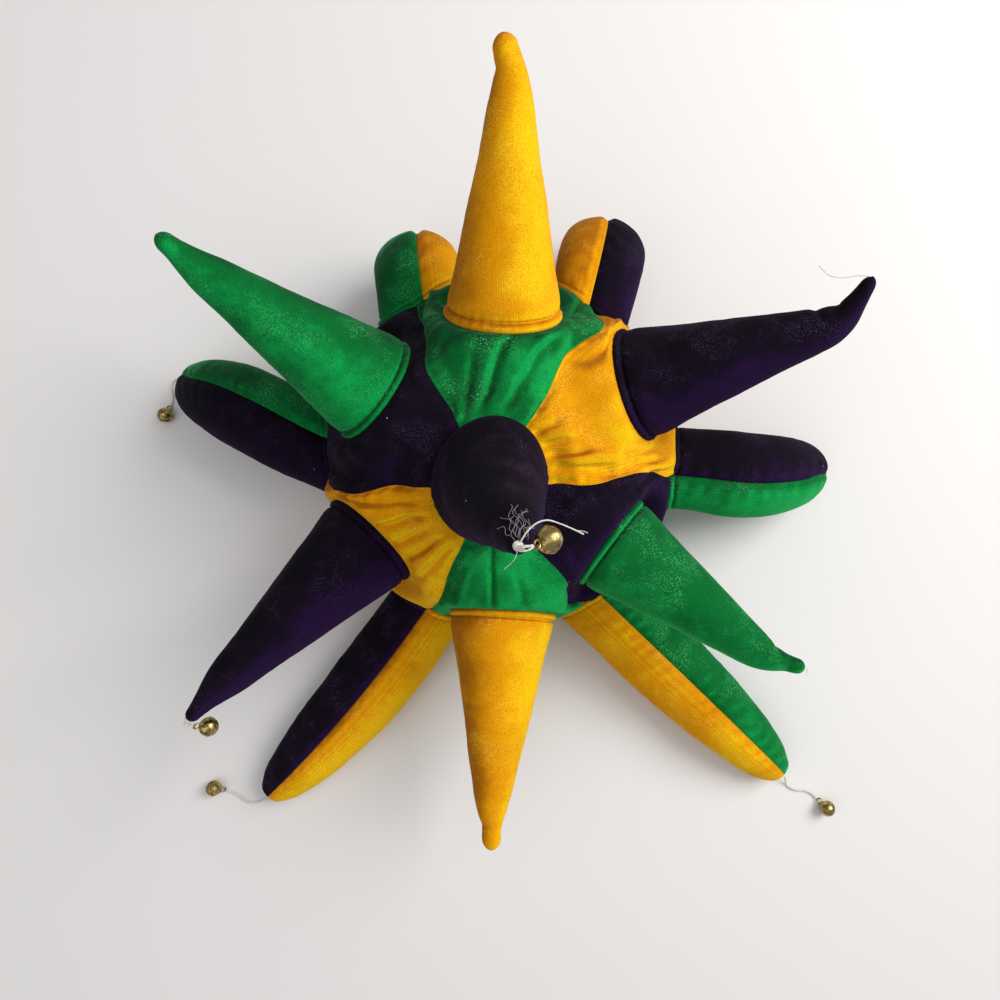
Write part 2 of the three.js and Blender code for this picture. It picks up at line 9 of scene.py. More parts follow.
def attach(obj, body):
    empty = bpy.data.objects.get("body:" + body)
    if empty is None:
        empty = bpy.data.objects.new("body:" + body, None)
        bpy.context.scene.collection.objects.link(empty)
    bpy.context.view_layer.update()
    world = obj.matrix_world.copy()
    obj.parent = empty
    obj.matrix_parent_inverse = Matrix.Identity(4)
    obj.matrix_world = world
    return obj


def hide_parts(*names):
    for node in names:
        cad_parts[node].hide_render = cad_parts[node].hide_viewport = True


# A stuffed velvet jester hat in green, gold and purple, lying on a pale floor and seen from above.
# Shapes are worked out in millimetres. The crown has its own frame, with its hem on z = 0, and is
# tipped forward onto the surface. A place round the hat is a clock hour, with 12 at the back.

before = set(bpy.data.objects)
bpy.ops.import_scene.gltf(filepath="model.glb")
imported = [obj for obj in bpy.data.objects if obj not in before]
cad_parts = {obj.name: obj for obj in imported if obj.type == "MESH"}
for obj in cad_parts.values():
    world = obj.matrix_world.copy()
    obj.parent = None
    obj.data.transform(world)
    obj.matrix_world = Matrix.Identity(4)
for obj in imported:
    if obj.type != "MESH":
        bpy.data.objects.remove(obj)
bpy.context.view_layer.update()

hat = {
    "tilt": 12,  # degrees, forward
    "hemRest": 1.1,  # the front hem above the surface
    "shift": (0.1676, 27.503),  # brings the middle of the footprint to the origin
}


# small tools for arrays of points

def outward(hour):
    # unit direction from the middle towards a clock hour
    angle = np.radians(90 - 30 * np.asarray(hour, float))
    return np.stack([np.cos(angle), np.sin(angle), np.zeros_like(angle)], -1)


def smooth(value, low, high):
    # 0 below low, 1 above high, and 3t² - 2t³ between them
    t = np.clip((value - low) / (high - low), 0, 1)
    return t * t * (3 - 2 * t)


def bump(value, middle, width):
    # a bell-shaped hill: e to the power of minus ((value - middle) / width)²
    return np.exp(-((value - middle) / width) ** 2)


def unit(v):
    return v / np.maximum(np.linalg.norm(v, axis=-1, keepdims=True), 1e-9)


def noise(p, size, seed=0):
    # random heights from -1 to 1 on a lattice of cells of that size, blended with 3t² - 2t³
    # along x, y and z
    q = np.asarray(p, float) / size + 31.7 * seed + 1000
    cell = np.floor(q).astype(np.uint64)
    t = q - cell
    t = t * t * (3 - 2 * t)
    total = np.zeros(q.shape[:-1])
    for corner in itertools.product((0, 1), repeat=3):
        c = cell + np.array(corner, np.uint64)
        h = c[..., 0] * np.uint64(73856093) ^ c[..., 1] * np.uint64(19349663)
        h = h ^ c[..., 2] * np.uint64(83492791) ^ np.uint64(seed * 7919 + 13)
        h = (h ^ (h >> np.uint64(13))) * np.uint64(0x5BD1E995) & np.uint64(0xFFFFFFFF)
        h = (h ^ (h >> np.uint64(15))) * np.uint64(0x27D4EB2D) & np.uint64(0xFFFFFFFF)
        share = np.prod(np.where(corner, t, 1 - t), axis=-1)
        total += share * ((h ^ (h >> np.uint64(14))) & np.uint64(0xFFFF)).astype(float) / 32767.5
    return total - 1


def curveTable(rows, column, x):
    # a smooth curve through the rows of a table, by its first column: a cubic between each two
    # rows, whose slopes at a row are those of the line between its neighbours
    at = np.array([row[0] for row in rows], float)
    value = np.array([row[column] for row in rows], float)
    slope = np.gradient(value, at)
    i = np.clip(np.searchsorted(at, x, side="right") - 1, 0, len(at) - 2)
    span = at[i + 1] - at[i]
    t = np.clip((x - at[i]) / span, 0, 1)
    return ((2 * t**3 - 3 * t**2 + 1) * value[i] + (t**3 - 2 * t**2 + t) * span * slope[i]
            + (3 * t**2 - 2 * t**3) * value[i + 1] + (t**3 - t**2) * span * slope[i + 1])


def spline(points, count):
    # a centripetal Catmull-Rom line through the points, as count places evenly along its length
    p = np.asarray(points, float)
    p = np.vstack([2 * p[0] - p[1], p, 2 * p[-1] - p[-2]])
    t = np.linspace(0, 1, 60)[:, None]
    line = []
    for a, b, c, d in zip(p, p[1:], p[2:], p[3:]):
        before, here, after = [math.sqrt(math.dist(*pair)) for pair in ((a, b), (b, c), (c, d))]
        leave = ((b - a) / before - (c - a) / (before + here) + (c - b) / here) * here
        reach = ((c - b) / here - (d - b) / (here + after) + (d - c) / after) * here
        line.append(b + leave * t + (-3 * b + 3 * c - 2 * leave - reach) * t**2
                    + (2 * b - 2 * c + leave + reach) * t**3)
    line = np.vstack([line[0][:1], *[part[1:] for part in line]])
    length = np.concatenate([[0], np.cumsum(np.linalg.norm(np.diff(line, axis=0), axis=1))])
    even = np.linspace(0, length[-1], count)
    return np.stack([np.interp(even, length, line[:, k]) for k in range(3)], -1), length[-1]


def tilting():
    # the hat's tilt in radians, and how high the middle of its hem then lies
    angle = math.radians(hat["tilt"])
    return angle, crownForm["hemRadius"] * math.sin(angle) + hat["hemRest"]


def onSurface(p, shiftOnly=False):
    # from the crown's frame to the surface's, in millimetres
    if not shiftOnly:
        angle, lift = tilting()
        x, y, z = p[..., 0], p[..., 1], p[..., 2]
        p = np.stack([x, y * math.cos(angle) - z * math.sin(angle),
                      y * math.sin(angle) + z * math.cos(angle) + lift], -1)
    return p + np.array([*hat["shift"], 0])


def offSurface(p):
    # from the surface's frame back to the crown's
    angle, lift = tilting()
    q = p - np.array([*hat["shift"], lift])
    x, y, z = q[..., 0], q[..., 1], q[..., 2]
    return np.stack([x, y * math.cos(angle) + z * math.sin(angle),
                     z * math.cos(angle) - y * math.sin(angle)], -1)


def quads(rows, columns, wrap=False):
    # the four corners of each cell of a grid, rows by columns, wound so that along × across is out
    i, j = np.meshgrid(np.arange(rows - 1), np.arange(columns - (not wrap)), indexing="ij")
    k = (j + 1) % columns
    return np.stack([i * columns + j, i * columns + k, (i + 1) * columns + k, (i + 1) * columns + j],
                    -1).reshape(-1, 4)


def fan(ring, middle):
    # triangles from a closed ring of points to its middle
    return np.stack([ring, np.roll(ring, -1), np.full(len(ring), middle)], -1)


def makeMesh(name, points, faces, material, uv=None):
    # points in millimetres, faces as arrays of corners; uv is one pair for each point, in metres
    mesh = bpy.data.meshes.new(name)
    corners = [face for block in faces for face in np.asarray(block).tolist()]
    mesh.from_pydata((np.asarray(points) * 0.001).tolist(), [], corners)
    mesh.update()
    if uv is not None:
        index = np.zeros(len(mesh.loops), np.int32)
        mesh.loops.foreach_get("vertex_index", index)
        layer = mesh.uv_layers.new(name="cloth")
        layer.data.foreach_set("uv", np.asarray(uv, np.float32)[index].ravel())
    mesh.shade_smooth()
    mesh.materials.append(material)
    piece = bpy.data.objects.new(name, mesh)
    bpy.context.scene.collection.objects.link(piece)
    return piece


def outwards(points, faces):
    # turns all faces round if the closed mesh's volume comes out negative
    volume = 0.0
    for block in faces:
        a, b = points[block[:, 0]], points[block[:, 1]]
        for k in range(2, block.shape[1]):
            volume += np.einsum("ij,ij->", a, np.cross(b, points[block[:, k]]))
            b = points[block[:, k]]
    return faces if volume > 0 else [block[:, ::-1] for block in faces]


def join(parts):
    # several sets of points and faces as one
    points, faces, start = [], [], 0
    for p, f in parts:
        points.append(p)
        faces += [np.asarray(block) + start for block in f]
        start += len(p)
    return np.vstack(points), faces


# materials

def linear(red, green, blue):
    # display colours from 0 to 255 as the linear ones that shaders use
    c = np.array([red, green, blue]) / 255
    return (*np.where(c <= 0.04045, c / 12.92, ((c + 0.055) / 1.055) ** 2.4), 1.0)


def nodeOf(tree, kind, values=None, **settings):
    node = tree.nodes.new(kind)
    for key, value in settings.items():
        setattr(node, key, value)
    for key, value in (values or {}).items():
        node.inputs[key].default_value = value
    return node


def mathOf(tree, operation, a, b=None, clamp=False):
    node = nodeOf(tree, "ShaderNodeMath", operation=operation, use_clamp=clamp)
    for socket, value in zip(node.inputs, (a, b)):
        if hasattr(value, "links"):
            tree.links.new(value, socket)
        elif value is not None:
            socket.default_value = value
    return node.outputs[0]


def rangeOf(tree, value, low, high, toLow=0.0, toHigh=1.0):
    node = nodeOf(tree, "ShaderNodeMapRange", {1: low, 2: high, 3: toLow, 4: toHigh},
                  interpolation_type="SMOOTHSTEP")
    tree.links.new(value, node.inputs[0])
    return node.outputs[0]


def mixOf(tree, share, a, b):
    node = nodeOf(tree, "ShaderNodeMix", data_type="RGBA")
    for socket, value in ((node.inputs[0], share), (node.inputs[6], a), (node.inputs[7], b)):
        if hasattr(value, "links"):
            tree.links.new(value, socket)
        else:
            socket.default_value = value
    return node.outputs[2]


def groupOf(name, inputs, outputs):
    group = bpy.data.node_groups.new(name, "ShaderNodeTree")
    for label, kind, value in inputs:
        socket = group.interface.new_socket(label, in_out="INPUT", socket_type=kind)
        if value is not None:
            socket.default_value = value
    for label, kind in outputs:
        group.interface.new_socket(label, in_out="OUTPUT", socket_type=kind)
    return group, group.nodes.new("NodeGroupInput"), group.nodes.new("NodeGroupOutput")


def noiseOf(tree, vector, scale, detail=2.0, rough=0.5):
    node = nodeOf(tree, "ShaderNodeTexNoise", {"Detail": detail, "Roughness": rough})
    tree.links.new(vector, node.inputs["Vector"])
    if hasattr(scale, "links"):
        tree.links.new(scale, node.inputs["Scale"])
    else:
        node.inputs["Scale"].default_value = scale
    return node.outputs["Fac"]


def makePileAndLightGroup():
    # velvet's pile, and light painted on it. The first output says where the cloth is painted dark or
    # bright: half of how far the surface faces one fixed way, which paints shade on the side turned from it
    # and a highlight on the side turned to it, and broad random patches. Grain is the single tufts,
    # Sparkle painted glints where it is crushed, more where the side is painted dark, Rows the knitted
    # rows, and Height all of them.
    tree, given, result = groupOf("velvet pile and painted light", [
        ("Vector", "NodeSocketVector", None), ("Cloth", "NodeSocketVector", None),
        ("Facing", "NodeSocketFloat", 0.0), ("Patch Scale", "NodeSocketFloat", 30.0),
        ("Row Scale", "NodeSocketFloat", 770.0), ("Crushed", "NodeSocketFloat", 0.5),
    ], [("Side Light And Patches", "NodeSocketFloat"), ("Grain", "NodeSocketFloat"), ("Sparkle", "NodeSocketFloat"),
        ("Rows", "NodeSocketFloat"), ("Height", "NodeSocketFloat")])
    where = given.outputs["Vector"]
    broad = noiseOf(tree, where, given.outputs["Patch Scale"], 3.0, 0.55)
    small = noiseOf(tree, where, mathOf(tree, "MULTIPLY", given.outputs["Patch Scale"], 6.0), 3.0, 0.6)
    small = mathOf(tree, "MULTIPLY", small, 0.22)
    patches = mathOf(tree, "ADD", mathOf(tree, "MULTIPLY", broad, 0.62), small)
    # painted light and shade by side: half of the facing, plus broad random patches
    sideLightAndPatches = mathOf(tree, "ADD", mathOf(tree, "MULTIPLY", given.outputs["Facing"], 0.5), patches)
    sideLightAndPatches = mathOf(tree, "ADD", sideLightAndPatches, 0.08, clamp=True)
    tufts = noiseOf(tree, where, 1250.0, 1.0, 0.7)
    dense = noiseOf(tree, where, 2800.0, 1.0, 0.5)
    mixed = mathOf(tree, "MULTIPLY", dense, 0.4)
    mixed = mathOf(tree, "ADD", mathOf(tree, "MULTIPLY", tufts, 0.6), mixed)
    grain = rangeOf(tree, mixed, 0.56, 0.4)
    spots = rangeOf(tree, mixed, 0.5, 0.64)
    crushed = rangeOf(tree, noiseOf(tree, where, 48.0, 3.0, 0.6), 0.46, 0.68)
    crushed = mathOf(tree, "MULTIPLY", crushed, rangeOf(tree, sideLightAndPatches, 0.35, 0.85, 1.0, 0.35))
    # painted glints: light specks where it is crushed, more where the side is painted dark
    sparkle = mathOf(tree, "MULTIPLY", mathOf(tree, "MULTIPLY", spots, crushed), given.outputs["Crushed"])
    wave = nodeOf(tree, "ShaderNodeTexWave", {"Distortion": 1.2, "Detail": 1.0, "Detail Scale": 0.6},
                  bands_direction="X")
    tree.links.new(given.outputs["Cloth"], wave.inputs["Vector"])
    tree.links.new(mathOf(tree, "DIVIDE", given.outputs["Row Scale"], 3.1), wave.inputs["Scale"])
    rows = wave.outputs["Fac"]
    height = mathOf(tree, "MULTIPLY", tufts, 0.7)
    height = mathOf(tree, "ADD", mathOf(tree, "MULTIPLY", rows, 0.16), height)
    height = mathOf(tree, "ADD", height, mathOf(tree, "MULTIPLY", dense, 0.35))
    for label, value in (("Side Light And Patches", sideLightAndPatches), ("Grain", grain), ("Sparkle", sparkle), ("Rows", rows),
                         ("Height", height)):
        tree.links.new(value, result.inputs[label])
    return tree


def newMaterial(name):
    material = bpy.data.materials.new(name)
    material.use_nodes = True
    tree = material.node_tree
    tree.nodes.clear()
    shader = tree.nodes.new("ShaderNodeBsdfPrincipled")
    end = tree.nodes.new("ShaderNodeOutputMaterial")
    tree.links.new(shader.outputs[0], end.inputs["Surface"])
    return material, tree, shader


paintedLightWay = (0.55, -0.83, 0.0)  # one fixed way, as seen from above: surfaces that face it are painted lighter, those that face away darker
velvetLooks = {
    # painted shade, which the grain and rows also darken towards, the cloth's own colour, a painted
    # highlight, painted glints and its sheen, as display colours; how much of it is crushed, how much its
    # grain and knitted rows show, and lint
    "green": {"deep": (0, 56, 24), "cloth": (0, 104, 43), "bright": (12, 166, 78), "glint": (92, 214, 134),
              "sheen": (120, 255, 170), "sheenWeight": 0.32, "crushed": 0.5, "grain": 0.36, "rows": 0.1,
              "lint": 0.0},
    "gold": {"deep": (156, 90, 0), "cloth": (226, 152, 0), "bright": (255, 204, 10), "glint": (255, 216, 74),
             "sheen": (255, 222, 96), "sheenWeight": 0.18, "crushed": 0.4, "grain": 0.34, "rows": 0.2,
             "lint": 0.0},
    "purple": {"deep": (4, 1, 7), "cloth": (13, 4, 21), "bright": (36, 11, 56), "glint": (104, 72, 128),
               "sheen": (130, 60, 190), "sheenWeight": 0.05, "crushed": 0.3, "grain": 0.4, "rows": 0.0,
               "lint": 0.7},
}


def makeVelvet(colour, pile):
    look = velvetLooks[colour]
    material, tree, shader = newMaterial(f"velvet {colour}")
    place = nodeOf(tree, "ShaderNodeTexCoord")
    # how far the surface faces one fixed way, which paints one side lighter and the other darker
    facing = nodeOf(tree, "ShaderNodeVectorMath", operation="DOT_PRODUCT")
    tree.links.new(nodeOf(tree, "ShaderNodeNewGeometry").outputs["Normal"], facing.inputs[0])
    facing.inputs[1].default_value = paintedLightWay
    lying = nodeOf(tree, "ShaderNodeGroup", node_tree=pile)
    lying.inputs["Crushed"].default_value = look["crushed"]
    tree.links.new(place.outputs["Object"], lying.inputs["Vector"])
    tree.links.new(place.outputs["UV"], lying.inputs["Cloth"])
    tree.links.new(facing.outputs["Value"], lying.inputs["Facing"])
    # painted shade and painted highlight by side, with broad random patches: deep, cloth and bright colours
    # mixed by how the surface faces
    sideLightAndPatches = lying.outputs["Side Light And Patches"]
    tone = mixOf(tree, rangeOf(tree, sideLightAndPatches, 0.12, 0.5), linear(*look["deep"]), linear(*look["cloth"]))
    tone = mixOf(tree, rangeOf(tree, sideLightAndPatches, 0.5, 0.88), tone, linear(*look["bright"]))
    rows = rangeOf(tree, lying.outputs["Rows"], 0.2, 0.9, look["rows"], 0.0)
    tone = mixOf(tree, rows, tone, linear(*look["deep"]))
    grain = mathOf(tree, "MULTIPLY", lying.outputs["Grain"], look["grain"])
    tone = mixOf(tree, grain, tone, linear(*look["deep"]))
    # painted glints: a pale colour mixed in where the specks are
    tone = mixOf(tree, lying.outputs["Sparkle"], tone, linear(*look["glint"]))
    if look["lint"]:
        specks = nodeOf(tree, "ShaderNodeTexVoronoi", {"Scale": 75.0})
        tree.links.new(place.outputs["Object"], specks.inputs["Vector"])
        some = rangeOf(tree, noiseOf(tree, place.outputs["Object"], 40.0), 0.5, 0.6)
        lint = rangeOf(tree, specks.outputs["Distance"], 0.02, 0.04, look["lint"], 0.0)
        tone = mixOf(tree, mathOf(tree, "MULTIPLY", lint, some), tone, linear(214, 208, 204))
    tree.links.new(tone, shader.inputs["Base Color"])
    tree.links.new(rangeOf(tree, lying.outputs["Sparkle"], 0.0, 0.6, 0.92, 0.5), shader.inputs["Roughness"])
    shader.inputs["Specular IOR Level"].default_value = 0.12
    shader.inputs["Sheen Weight"].default_value = look["sheenWeight"]
    shader.inputs["Sheen Roughness"].default_value = 0.32
    shader.inputs["Sheen Tint"].default_value = linear(*look["sheen"])
    relief = nodeOf(tree, "ShaderNodeBump", {"Strength": 0.5, "Distance": 0.0005})
    tree.links.new(lying.outputs["Height"], relief.inputs["Height"])
    tree.links.new(relief.outputs[0], shader.inputs["Normal"])
    return material


def makeBrass():
    material, tree, shader = newMaterial("tarnished brass")
    where = nodeOf(tree, "ShaderNodeTexCoord").outputs["Object"]
    stain = noiseOf(tree, where, 420.0, 5.0, 0.65)
    fine = noiseOf(tree, where, 2600.0, 2.0, 0.6)
    tone = mixOf(tree, rangeOf(tree, stain, 0.42, 0.62), linear(186, 164, 104), linear(104, 86, 44))
    tone = mixOf(tree, rangeOf(tree, fine, 0.6, 0.75, 0.0, 0.6), tone, linear(58, 46, 26))
    tree.links.new(tone, shader.inputs["Base Color"])
    tree.links.new(rangeOf(tree, stain, 0.35, 0.7, 0.2, 0.5), shader.inputs["Roughness"])
    shader.inputs["Metallic"].default_value = 1.0
    relief = nodeOf(tree, "ShaderNodeBump", {"Strength": 0.2, "Distance": 0.0001})
    tree.links.new(fine, relief.inputs["Height"])
    tree.links.new(relief.outputs[0], shader.inputs["Normal"])
    return material


def makeThread(name, light, shade, dirt):
    material, tree, shader = newMaterial(name)
    where = nodeOf(tree, "ShaderNodeTexCoord").outputs["Object"]
    fuzz = noiseOf(tree, where, 3200.0, 3.0, 0.7)
    stain = noiseOf(tree, where, 160.0, 3.0, 0.6)
    tone = mixOf(tree, rangeOf(tree, fuzz, 0.3, 0.7), linear(*shade), linear(*light))
    tone = mixOf(tree, rangeOf(tree, stain, 0.5, 0.75, 0.0, 0.5), tone, linear(*dirt))
    tree.links.new(tone, shader.inputs["Base Color"])
    shader.inputs["Roughness"].default_value = 0.95
    shader.inputs["Sheen Weight"].default_value = 0.4
    shader.inputs["Sheen Tint"].default_value = (1.0, 1.0, 1.0, 1.0)
    relief = nodeOf(tree, "ShaderNodeBump", {"Strength": 0.5, "Distance": 0.0001})
    tree.links.new(fuzz, relief.inputs["Height"])
    tree.links.new(relief.outputs[0], shader.inputs["Normal"])
    return material


pileAndLightGroup = makePileAndLightGroup()
velvets = {colour: makeVelvet(colour, pileAndLightGroup) for colour in velvetLooks}
brass = makeBrass()
thread = makeThread("cotton thread", (236, 232, 222), (186, 178, 164), (142, 130, 112))
fibre = makeThread("frayed fibre", (150, 140, 146), (86, 76, 86), (60, 50, 62))
print("materials made")


def place(piece, node, slot):
    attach(piece, "root")
    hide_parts(node)
    return piece


# crown

crownForm = {
    "hemRadius": 96, "radius": 101, "wideHeight": 22, "height": 112, "roundness": 1.95,
    "wall": 2.6, "hemWall": 4.2, "hemDepth": 9, "topHole": 5, "puff": 2.5, "slump": (-6, -2),
    "seatFlat": 32.5, "seatFade": 46,  # from a horn's middle: where its seat stays flat, and where it ends
    "rows": 104, "columns": 92,
    "meanWidth": 0.7,  # of a panel, as a share of its width at the widest ring
    "seamDip": 1.5, "seamWidth": 2.4,  # how deep a seam lies, and how wide
    "pucker": 0.4, "puckerPitch": 7.5, "puckerReach": 6,  # along the seams
    "stitchDip": 0.5, "stitchWidth": 1.1,  # the hem's stitching
    "seatPucker": 0.45, "seatPuckers": 13, "seatPuckerAt": 35.5, "seatPuckerWidth": 4.5,  # round each horn
    "seatHidden": 29, "seatShown": 33.5,  # from a horn's middle: where the relief begins and is full
    "sag": 0.55, "sagSize": 17,  # broad unevenness
    "crumple": 0.22, "crumpleSize": 6,
    "creasing": 1.8,  # how deep the finer folds are
    "foldFade": 0.25,  # share of a fold's length over which each end fades out
}

# clockwise: node, hour of the seam where the panel starts, how far that seam bows, in hours, colour
panels = [
    ("crown_panel_gold_back", 1.07, 0, "gold"),
    ("crown_panel_purple_right", 3.17, -0.3, "purple"),
    ("crown_panel_green_front", 4.93, 0, "green"),
    ("crown_panel_gold_left", 6.8, 0, "gold"),
    ("crown_panel_purple_left", 8.87, 0, "purple"),
    ("crown_panel_green_back", 11.03, 0, "green"),
]

# hour and lift in degrees of both ends, width in millimetres, height in millimetres
crownFolds = [
    (11.5, 74, 12.35, 44, 6.2, 2.5), (11.9, 76, 12.8, 40, 6.2, 2.5), (1.25, 34, 1.45, 4, 5.6, 2.25),
    (1.6, 74, 1.95, 58, 6.7, 2.25), (2.4, 74, 2.75, 44, 6.7, 2.5), (2.95, 50, 2.95, 8, 6.2, 2.0),
    (4.6, 60, 5.0, 14, 6.7, 2.0), (5.98, 76, 5.98, 62, 5.6, -2.0), (7.2, 66, 7.5, 32, 6.7, 2.5),
    (8.3, 68, 8.75, 30, 6.7, 2.5), (9.2, 60, 9.1, 14, 6.2, 2.0),
]

# the finer ones that lie between and on them
crownCreases = [
    (11.15, 72, 11.75, 52, 2.6, -1.0), (11.7, 70, 12.5, 42, 2.4, -1.6), (12.3, 70, 12.95, 44, 2.4, -1.2),
    (12.5, 62, 12.95, 36, 2.0, 0.8), (1.12, 50, 1.3, 20, 2.2, -1.0), (1.32, 38, 1.6, 8, 2.0, -1.5),
    (1.5, 36, 1.85, 12, 1.8, -1.2), (1.2, 30, 1.35, 0, 1.8, 0.9),
    (1.35, 74, 1.6, 60, 2.2, -1.0), (1.8, 74, 2.1, 60, 2.4, -1.3), (2.1, 76, 2.45, 56, 2.2, -1.2),
    (2.25, 74, 2.6, 50, 1.8, 0.7), (2.6, 72, 2.85, 48, 2.2, -1.1), (2.8, 62, 2.85, 22, 2.0, -1.3),
    (3.02, 56, 3.05, 14, 1.8, -1.0), (2.7, 50, 2.72, 24, 1.8, -0.8), (3.1, 40, 3.1, 4, 1.6, 0.6),
    (4.3, 62, 4.7, 24, 2.4, -0.9), (4.8, 66, 4.9, 20, 2.2, -0.8), (5.5, 60, 5.4, 44, 2.4, -0.5),
    (5.98, 80, 5.98, 48, 1.5, -0.9), (6.45, 62, 6.6, 40, 2.2, 0.6), (5.25, 44, 5.15, 16, 2.2, -1.1),
    (7.0, 70, 7.2, 40, 2.2, -1.0), (7.35, 70, 7.62, 40, 2.0, -1.4), (7.7, 66, 7.98, 44, 2.0, -1.1),
    (8.02, 70, 8.4, 44, 2.0, -1.4), (8.45, 68, 8.78, 44, 2.0, -1.0), (8.2, 66, 8.6, 30, 1.6, 0.6),
    (8.7, 60, 8.8, 26, 2.0, -0.9), (9.05, 56, 9.0, 14, 2.2, -1.1), (9.4, 60, 9.3, 16, 2.2, -1.0),
    (9.7, 66, 9.5, 44, 2.4, -0.6), (10.7, 62, 10.85, 30, 2.2, -0.8), (10.9, 40, 11.2, 6, 2.2, -1.2),
    (11.3, 30, 11.2, -2, 2.4, 1.0), (0.8, 30, 0.9, 0, 2.2, -1.0),
]

hornForm = {
    "length": 120, "radius": 28, "roll": 2.9, "seat": 1.2, "curlFrom": 0.78, "curlTo": 1.3,
    "rimEnd": 9, "rimRows": 40, "bodyRows": 80, "tipShare": 0.07, "tipRows": 32, "columns": 112,
    "wave": 0.45, "waveSize": 19,  # broad unevenness of the filling
    "grainy": 0.12, "grainSize": 4.5,
    "grooveDip": 1.1, "grooveWidth": 0.8,  # of the seam above the rolled edge
    "rimPucker": 0.3, "rimPuckers": 34,
    "seamDip": 0.7, "seamWidth": 1.8,  # of the seam along its underside
    "tipFrom": 0.86, "tipTo": 1.1,  # where a tip hooks and reaches on
}

# the hour, ring and height of a horn's base are shares of the crown's, its length and girth of
# hornForm's, its heading is an hour, its rise is in degrees, the curl of its tip is a share of its
# length and rim says how thick its rolled edge is
horns = [
    {"node": "horn_gold_back", "colour": "gold", "hour": 12, "ring": 0.78, "height": 0.63, "heading": 12.05,
     "rise": 19, "length": 1.03, "girth": 1, "curlSide": -0.03, "curlUp": 0.02, "rim": 1.25},
    {"node": "horn_purple_right", "colour": "purple", "hour": 1.93, "ring": 0.82, "height": 0.57,
     "heading": 2.34, "rise": 24, "length": 0.99, "girth": 1, "curlSide": -0.1, "curlUp": 0.03, "rim": 0.85},
    {"node": "horn_green_right", "colour": "green", "hour": 4.1, "ring": 0.69, "height": 0.68,
     "heading": 4.13, "rise": 18, "length": 0.97, "girth": 0.92, "curlSide": -0.065, "curlUp": -0.02,
     "rim": 0.55},
    {"node": "horn_gold_front", "colour": "gold", "hour": 5.96, "ring": 0.81, "height": 0.6, "heading": 6.09,
     "rise": 22, "length": 1.01, "girth": 0.99, "curlSide": -0.012, "curlUp": 0.01, "rim": 0.7},
    {"node": "horn_purple_left", "colour": "purple", "hour": 8.01, "ring": 0.8, "height": 0.62,
     "heading": 7.57, "rise": 27, "length": 1.06, "girth": 0.98, "curlSide": -0.015, "curlUp": -0.03,
     "rim": 0.8},
    {"node": "horn_green_left", "colour": "green", "hour": 10.06, "ring": 0.76, "height": 0.66,
     "heading": 10.23, "rise": 22, "length": 0.99, "girth": 0.98, "curlSide": 0.02, "curlUp": 0.02,
     "rim": 0.6},
    {"node": "top_horn_purple", "colour": "purple", "hour": 8.4, "ring": 0.055, "height": 0.965,
     "heading": 3.0, "rise": 84, "length": 0.98, "girth": 1, "curlSide": 0.01, "curlUp": 0.01, "rim": 0.3},
]

# where along a horn, and how wide it is there, as a share of its girth
hornProfile = [(0.0, 1.02), (0.075, 1), (0.22, 0.87), (0.36, 0.745), (0.52, 0.6), (0.68, 0.46), (0.81, 0.345)]

# each tip: its own end of that profile, and how far it hooks sideways and reaches on, in millimetres
hornTips = {
    "horn_gold_back": {"profile": [(0.88, 0.265), (0.93, 0.22), (0.965, 0.2), (1, 0.165)],
                       "hook": -1.6, "reach": 0},
    "horn_purple_right": {"profile": [(0.88, 0.255), (0.925, 0.175), (0.96, 0.135), (1, 0.105)],
                          "hook": -4.5, "reach": 1},
    "horn_green_right": {"profile": [(0.88, 0.245), (0.91, 0.19), (0.94, 0.165), (1, 0.135)],
                         "hook": 0.5, "reach": 0},
    "horn_gold_front": {"profile": [(0.88, 0.255), (0.905, 0.215), (0.925, 0.185), (0.96, 0.178), (1, 0.145)],
                        "hook": 0.4, "reach": 3},
    "horn_purple_left": {"profile": [(0.88, 0.245), (0.94, 0.165), (1, 0.11)], "hook": 0, "reach": 0},
    "horn_green_left": {"profile": [(0.88, 0.26), (0.94, 0.185), (1, 0.145)], "hook": 0, "reach": 2.5},
    "top_horn_purple": {"profile": [(0.88, 0.255), (0.94, 0.18), (1, 0.12)], "hook": 0, "reach": 0},
}

# dents and folds of single horns: how far along, the angle round it (0 is its clockwise side, 90 its
# upper side), the two sizes in millimetres, the depth, and how far the dent is turned on the surface
hornDents = {
    "horn_gold_back": [(0.9, 180, 2.4, 5, 0.8, 0), (0.06, 120, 5, 16, 0.6, 0.2), (0.955, 60, 3, 4, 0.6, 0)],
    "horn_purple_right": [(0.8, 165, 2.6, 8, 1.7, 0.3), (0.885, 160, 2.2, 6, 1.6, -0.2),
                          (0.78, 60, 3, 10, 0.6, 0), (0.3, 90, 14, 10, 0.8, 0)],
    "horn_green_right": [(0.875, 160, 2.4, 6, 1.4, 0.4), (0.93, 70, 2, 5, 0.7, 0),
                         (0.12, 110, 7, 18, 0.8, 0)],
    "horn_gold_front": [(0.41, 90, 1.4, 22, 0.5, 0), (0.905, 80, 1.4, 9, 1.2, 0.1),
                        (0.84, 120, 2, 7, 0.8, 0)],
    "horn_purple_left": [(0.9, 100, 2, 6, 0.8, 0), (0.1, 70, 8, 16, 0.8, 0.2)],
    "horn_green_left": [(0.35, 110, 12, 8, 0.5, 0), (0.93, 90, 3, 5, 0.5, 0)],
    "top_horn_purple": [(0.14, 185, 15, 24, -6.5, 0), (0.16, 265, 16, 18, 2.5, 0), (0.2, 100, 14, 16, 1.2, 0),
                        (0.5, 30, 10, 8, 0.8, 0), (0.62, 200, 9, 9, 1.2, 0.2), (0.9, 90, 2, 5, 0.7, 0)],
}


